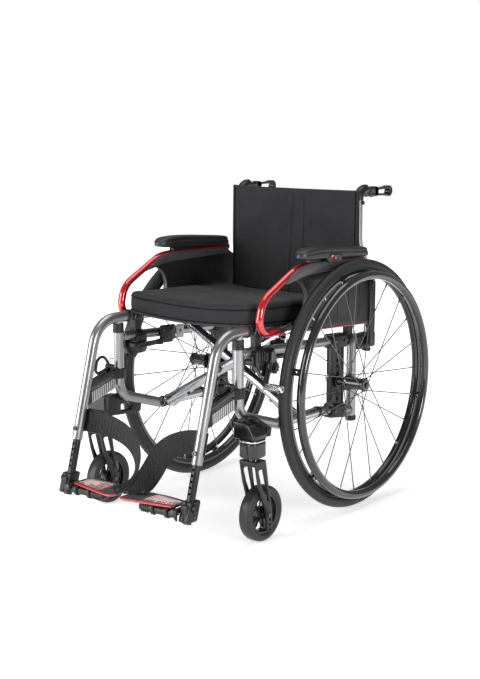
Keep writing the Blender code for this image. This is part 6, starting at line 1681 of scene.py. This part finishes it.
pads = both("arm_pad_foam", [pad_form()], [pad_foam], "armrest", ["arm_pad"])
for pad in pads:
    smooth = pad.modifiers.new("smooth", "SUBSURF")
    smooth.levels = smooth.render_levels = 2
    bpy.context.view_layer.objects.active = pad
    bpy.ops.object.modifier_apply(modifier=smooth.name)
both(
    "arm_pad_mount", [box((ARM_X - 0.0070, -0.150, 0.5900), (ARM_X + 0.0070, 0.046, 0.6010), 0.0020)],
    [black_plastic], "armrest",
)
BUTTON_Z = 0.6005
latch_outline = loop_of(
    [
        (-0.1090, 0.5925), (-0.0560, 0.5915), (-0.0560, 0.6050), (-0.0610, 0.6095), (-0.1020, 0.6125),
        (-0.1090, 0.6080),
    ],
    (0.002, 0.002, 0.004, 0.005, 0.005, 0.004),
)
latch_case = [
    plate(
        latch_outline, 0.2175, 0.2352, 0.0012, holes=[round_hole((PAD_BUTTON_Y, BUTTON_Z), 0.0047)], steps=4,
    ),
    pin(PAD_BUTTON_Y, BUTTON_Z, 0.2180, 0.2290, 0.0046, 0.0004, 24),
    box((0.2340, -0.0985, 0.6040), (0.2358, -0.0905, 0.6080), 0.0008, 1),
    rod(at(-0.1060, 0.5935, 0.2195), at(-0.0640, 0.5925, 0.2195), 0.0020, 0.0006, 16, 1),
    box((0.2335, -0.0585, 0.5935), (0.2362, -0.0562, 0.6065), 0.0008, 2),
]
both("arm_latch_case", latch_case, [black_gloss, bright_metal, pad_foam], "armrest")
button_face = [
    (0, 0.0001), (0, 0.0040), (0.0064, 0.0040), (0.0074, 0.0034), (0.0078, 0.0020), (0.0080, 0.0001),
]
both(
    "arm_latch_button", [turned(button_face, at(PAD_BUTTON_Y, BUTTON_Z, 0.2305), sides=32)], [red_edge],
    "armrest_button", ["pad_button"],
)

# Studio. A plain white floor that glows a little, so that it stays white right out to the backdrop, and
# soft lights: one wide and low in front of the chair, one overhead, and one at the right that picks out the
# rims.
CAMERA_AT = (1.998, -2.469, 0.947)
CAMERA_TURN = 38.98
CAMERA_TILT = 9.89
CAMERA_LENS = 71.79
FLOOR_R = 6.0

floor_mesh = bpy.data.meshes.new("floor")
floor_points = np.column_stack([circle(96), np.zeros(96)]) * FLOOR_R
floor_mesh.from_pydata(floor_points, [], [tuple(range(96))])
floor_finish = bpy.data.materials.new("floor_finish")
floor_finish.use_nodes = True
paper = floor_finish.node_tree
far_out = add_node(
    paper, "ShaderNodeMapping",
    {"Vector": paper.nodes.new("ShaderNodeTexCoord").outputs["Object"], "Scale": (0.5, 0.5, 0.5)},
)
falling = add_node(
    paper, "ShaderNodeTexGradient", {"Vector": far_out.outputs[0]}, gradient_type="SPHERICAL",
)
glow = add_node(paper, "ShaderNodeMapRange", {0: falling.outputs[0], 1: 0.05, 2: 0.75, 3: 1.0, 4: 0.56})
paper_inputs = paper.nodes["Principled BSDF"].inputs
paper.links.new(glow.outputs[0], paper_inputs["Emission Strength"])
paper_inputs["Emission Color"].default_value = (1, 1, 1, 1)
paper_inputs["Base Color"].default_value = (0.85, 0.85, 0.85, 1)
paper_inputs["Roughness"].default_value = 0.9
paper_inputs["Specular IOR Level"].default_value = 0.0
floor_mesh.materials.append(floor_finish)
floor = bpy.data.objects.new("floor", floor_mesh)
bpy.context.collection.objects.link(floor)


def softbox(name, place, aim, size, power):
    """A square area light that faces a point."""
    lamp = bpy.data.lights.new(name, "AREA")
    lamp.size = size
    lamp.energy = power
    holder = bpy.data.objects.new(name, lamp)
    holder.location = place
    holder.rotation_euler = (Vector(aim) - Vector(place)).to_track_quat("-Z", "Y").to_euler()
    bpy.context.collection.objects.link(holder)


softbox("front_light", (-1.5, -3.5, 1.3), (0, -0.1, 0.45), 2.6, 150)
softbox("top_light", (0.0, 0.1, 3.4), (0, 0.1, 0), 2.6, 52)
softbox("right_light", (3.8, -1.0, 1.2), (0, 0.1, 0.4), 0.9, 55)

world = bpy.data.worlds.new("studio")
world.use_nodes = True
sky = world.node_tree
backdrop = sky.nodes["Background"]
backdrop.inputs["Color"].default_value = (1, 1, 1, 1)
backdrop.inputs["Strength"].default_value = 1.0
around = add_node(sky, "ShaderNodeBackground", {"Color": (1, 1, 1, 1), "Strength": 0.26})
seen = sky.nodes.new("ShaderNodeLightPath")
chosen = add_node(
    sky, "ShaderNodeMixShader",
    {0: seen.outputs["Is Camera Ray"], 1: around.outputs[0], 2: backdrop.outputs[0]},
)
sky.links.new(chosen.outputs[0], sky.nodes["World Output"].inputs["Surface"])
bpy.context.scene.world = world
bpy.context.scene.view_settings.view_transform = "Standard"

lens = bpy.data.cameras.new("camera")
lens.lens = CAMERA_LENS
camera = bpy.data.objects.new("camera", lens)
camera.location = CAMERA_AT
camera.rotation_euler = (math.radians(90 - CAMERA_TILT), 0, math.radians(CAMERA_TURN))
bpy.context.collection.objects.link(camera)
bpy.context.scene.camera = camera
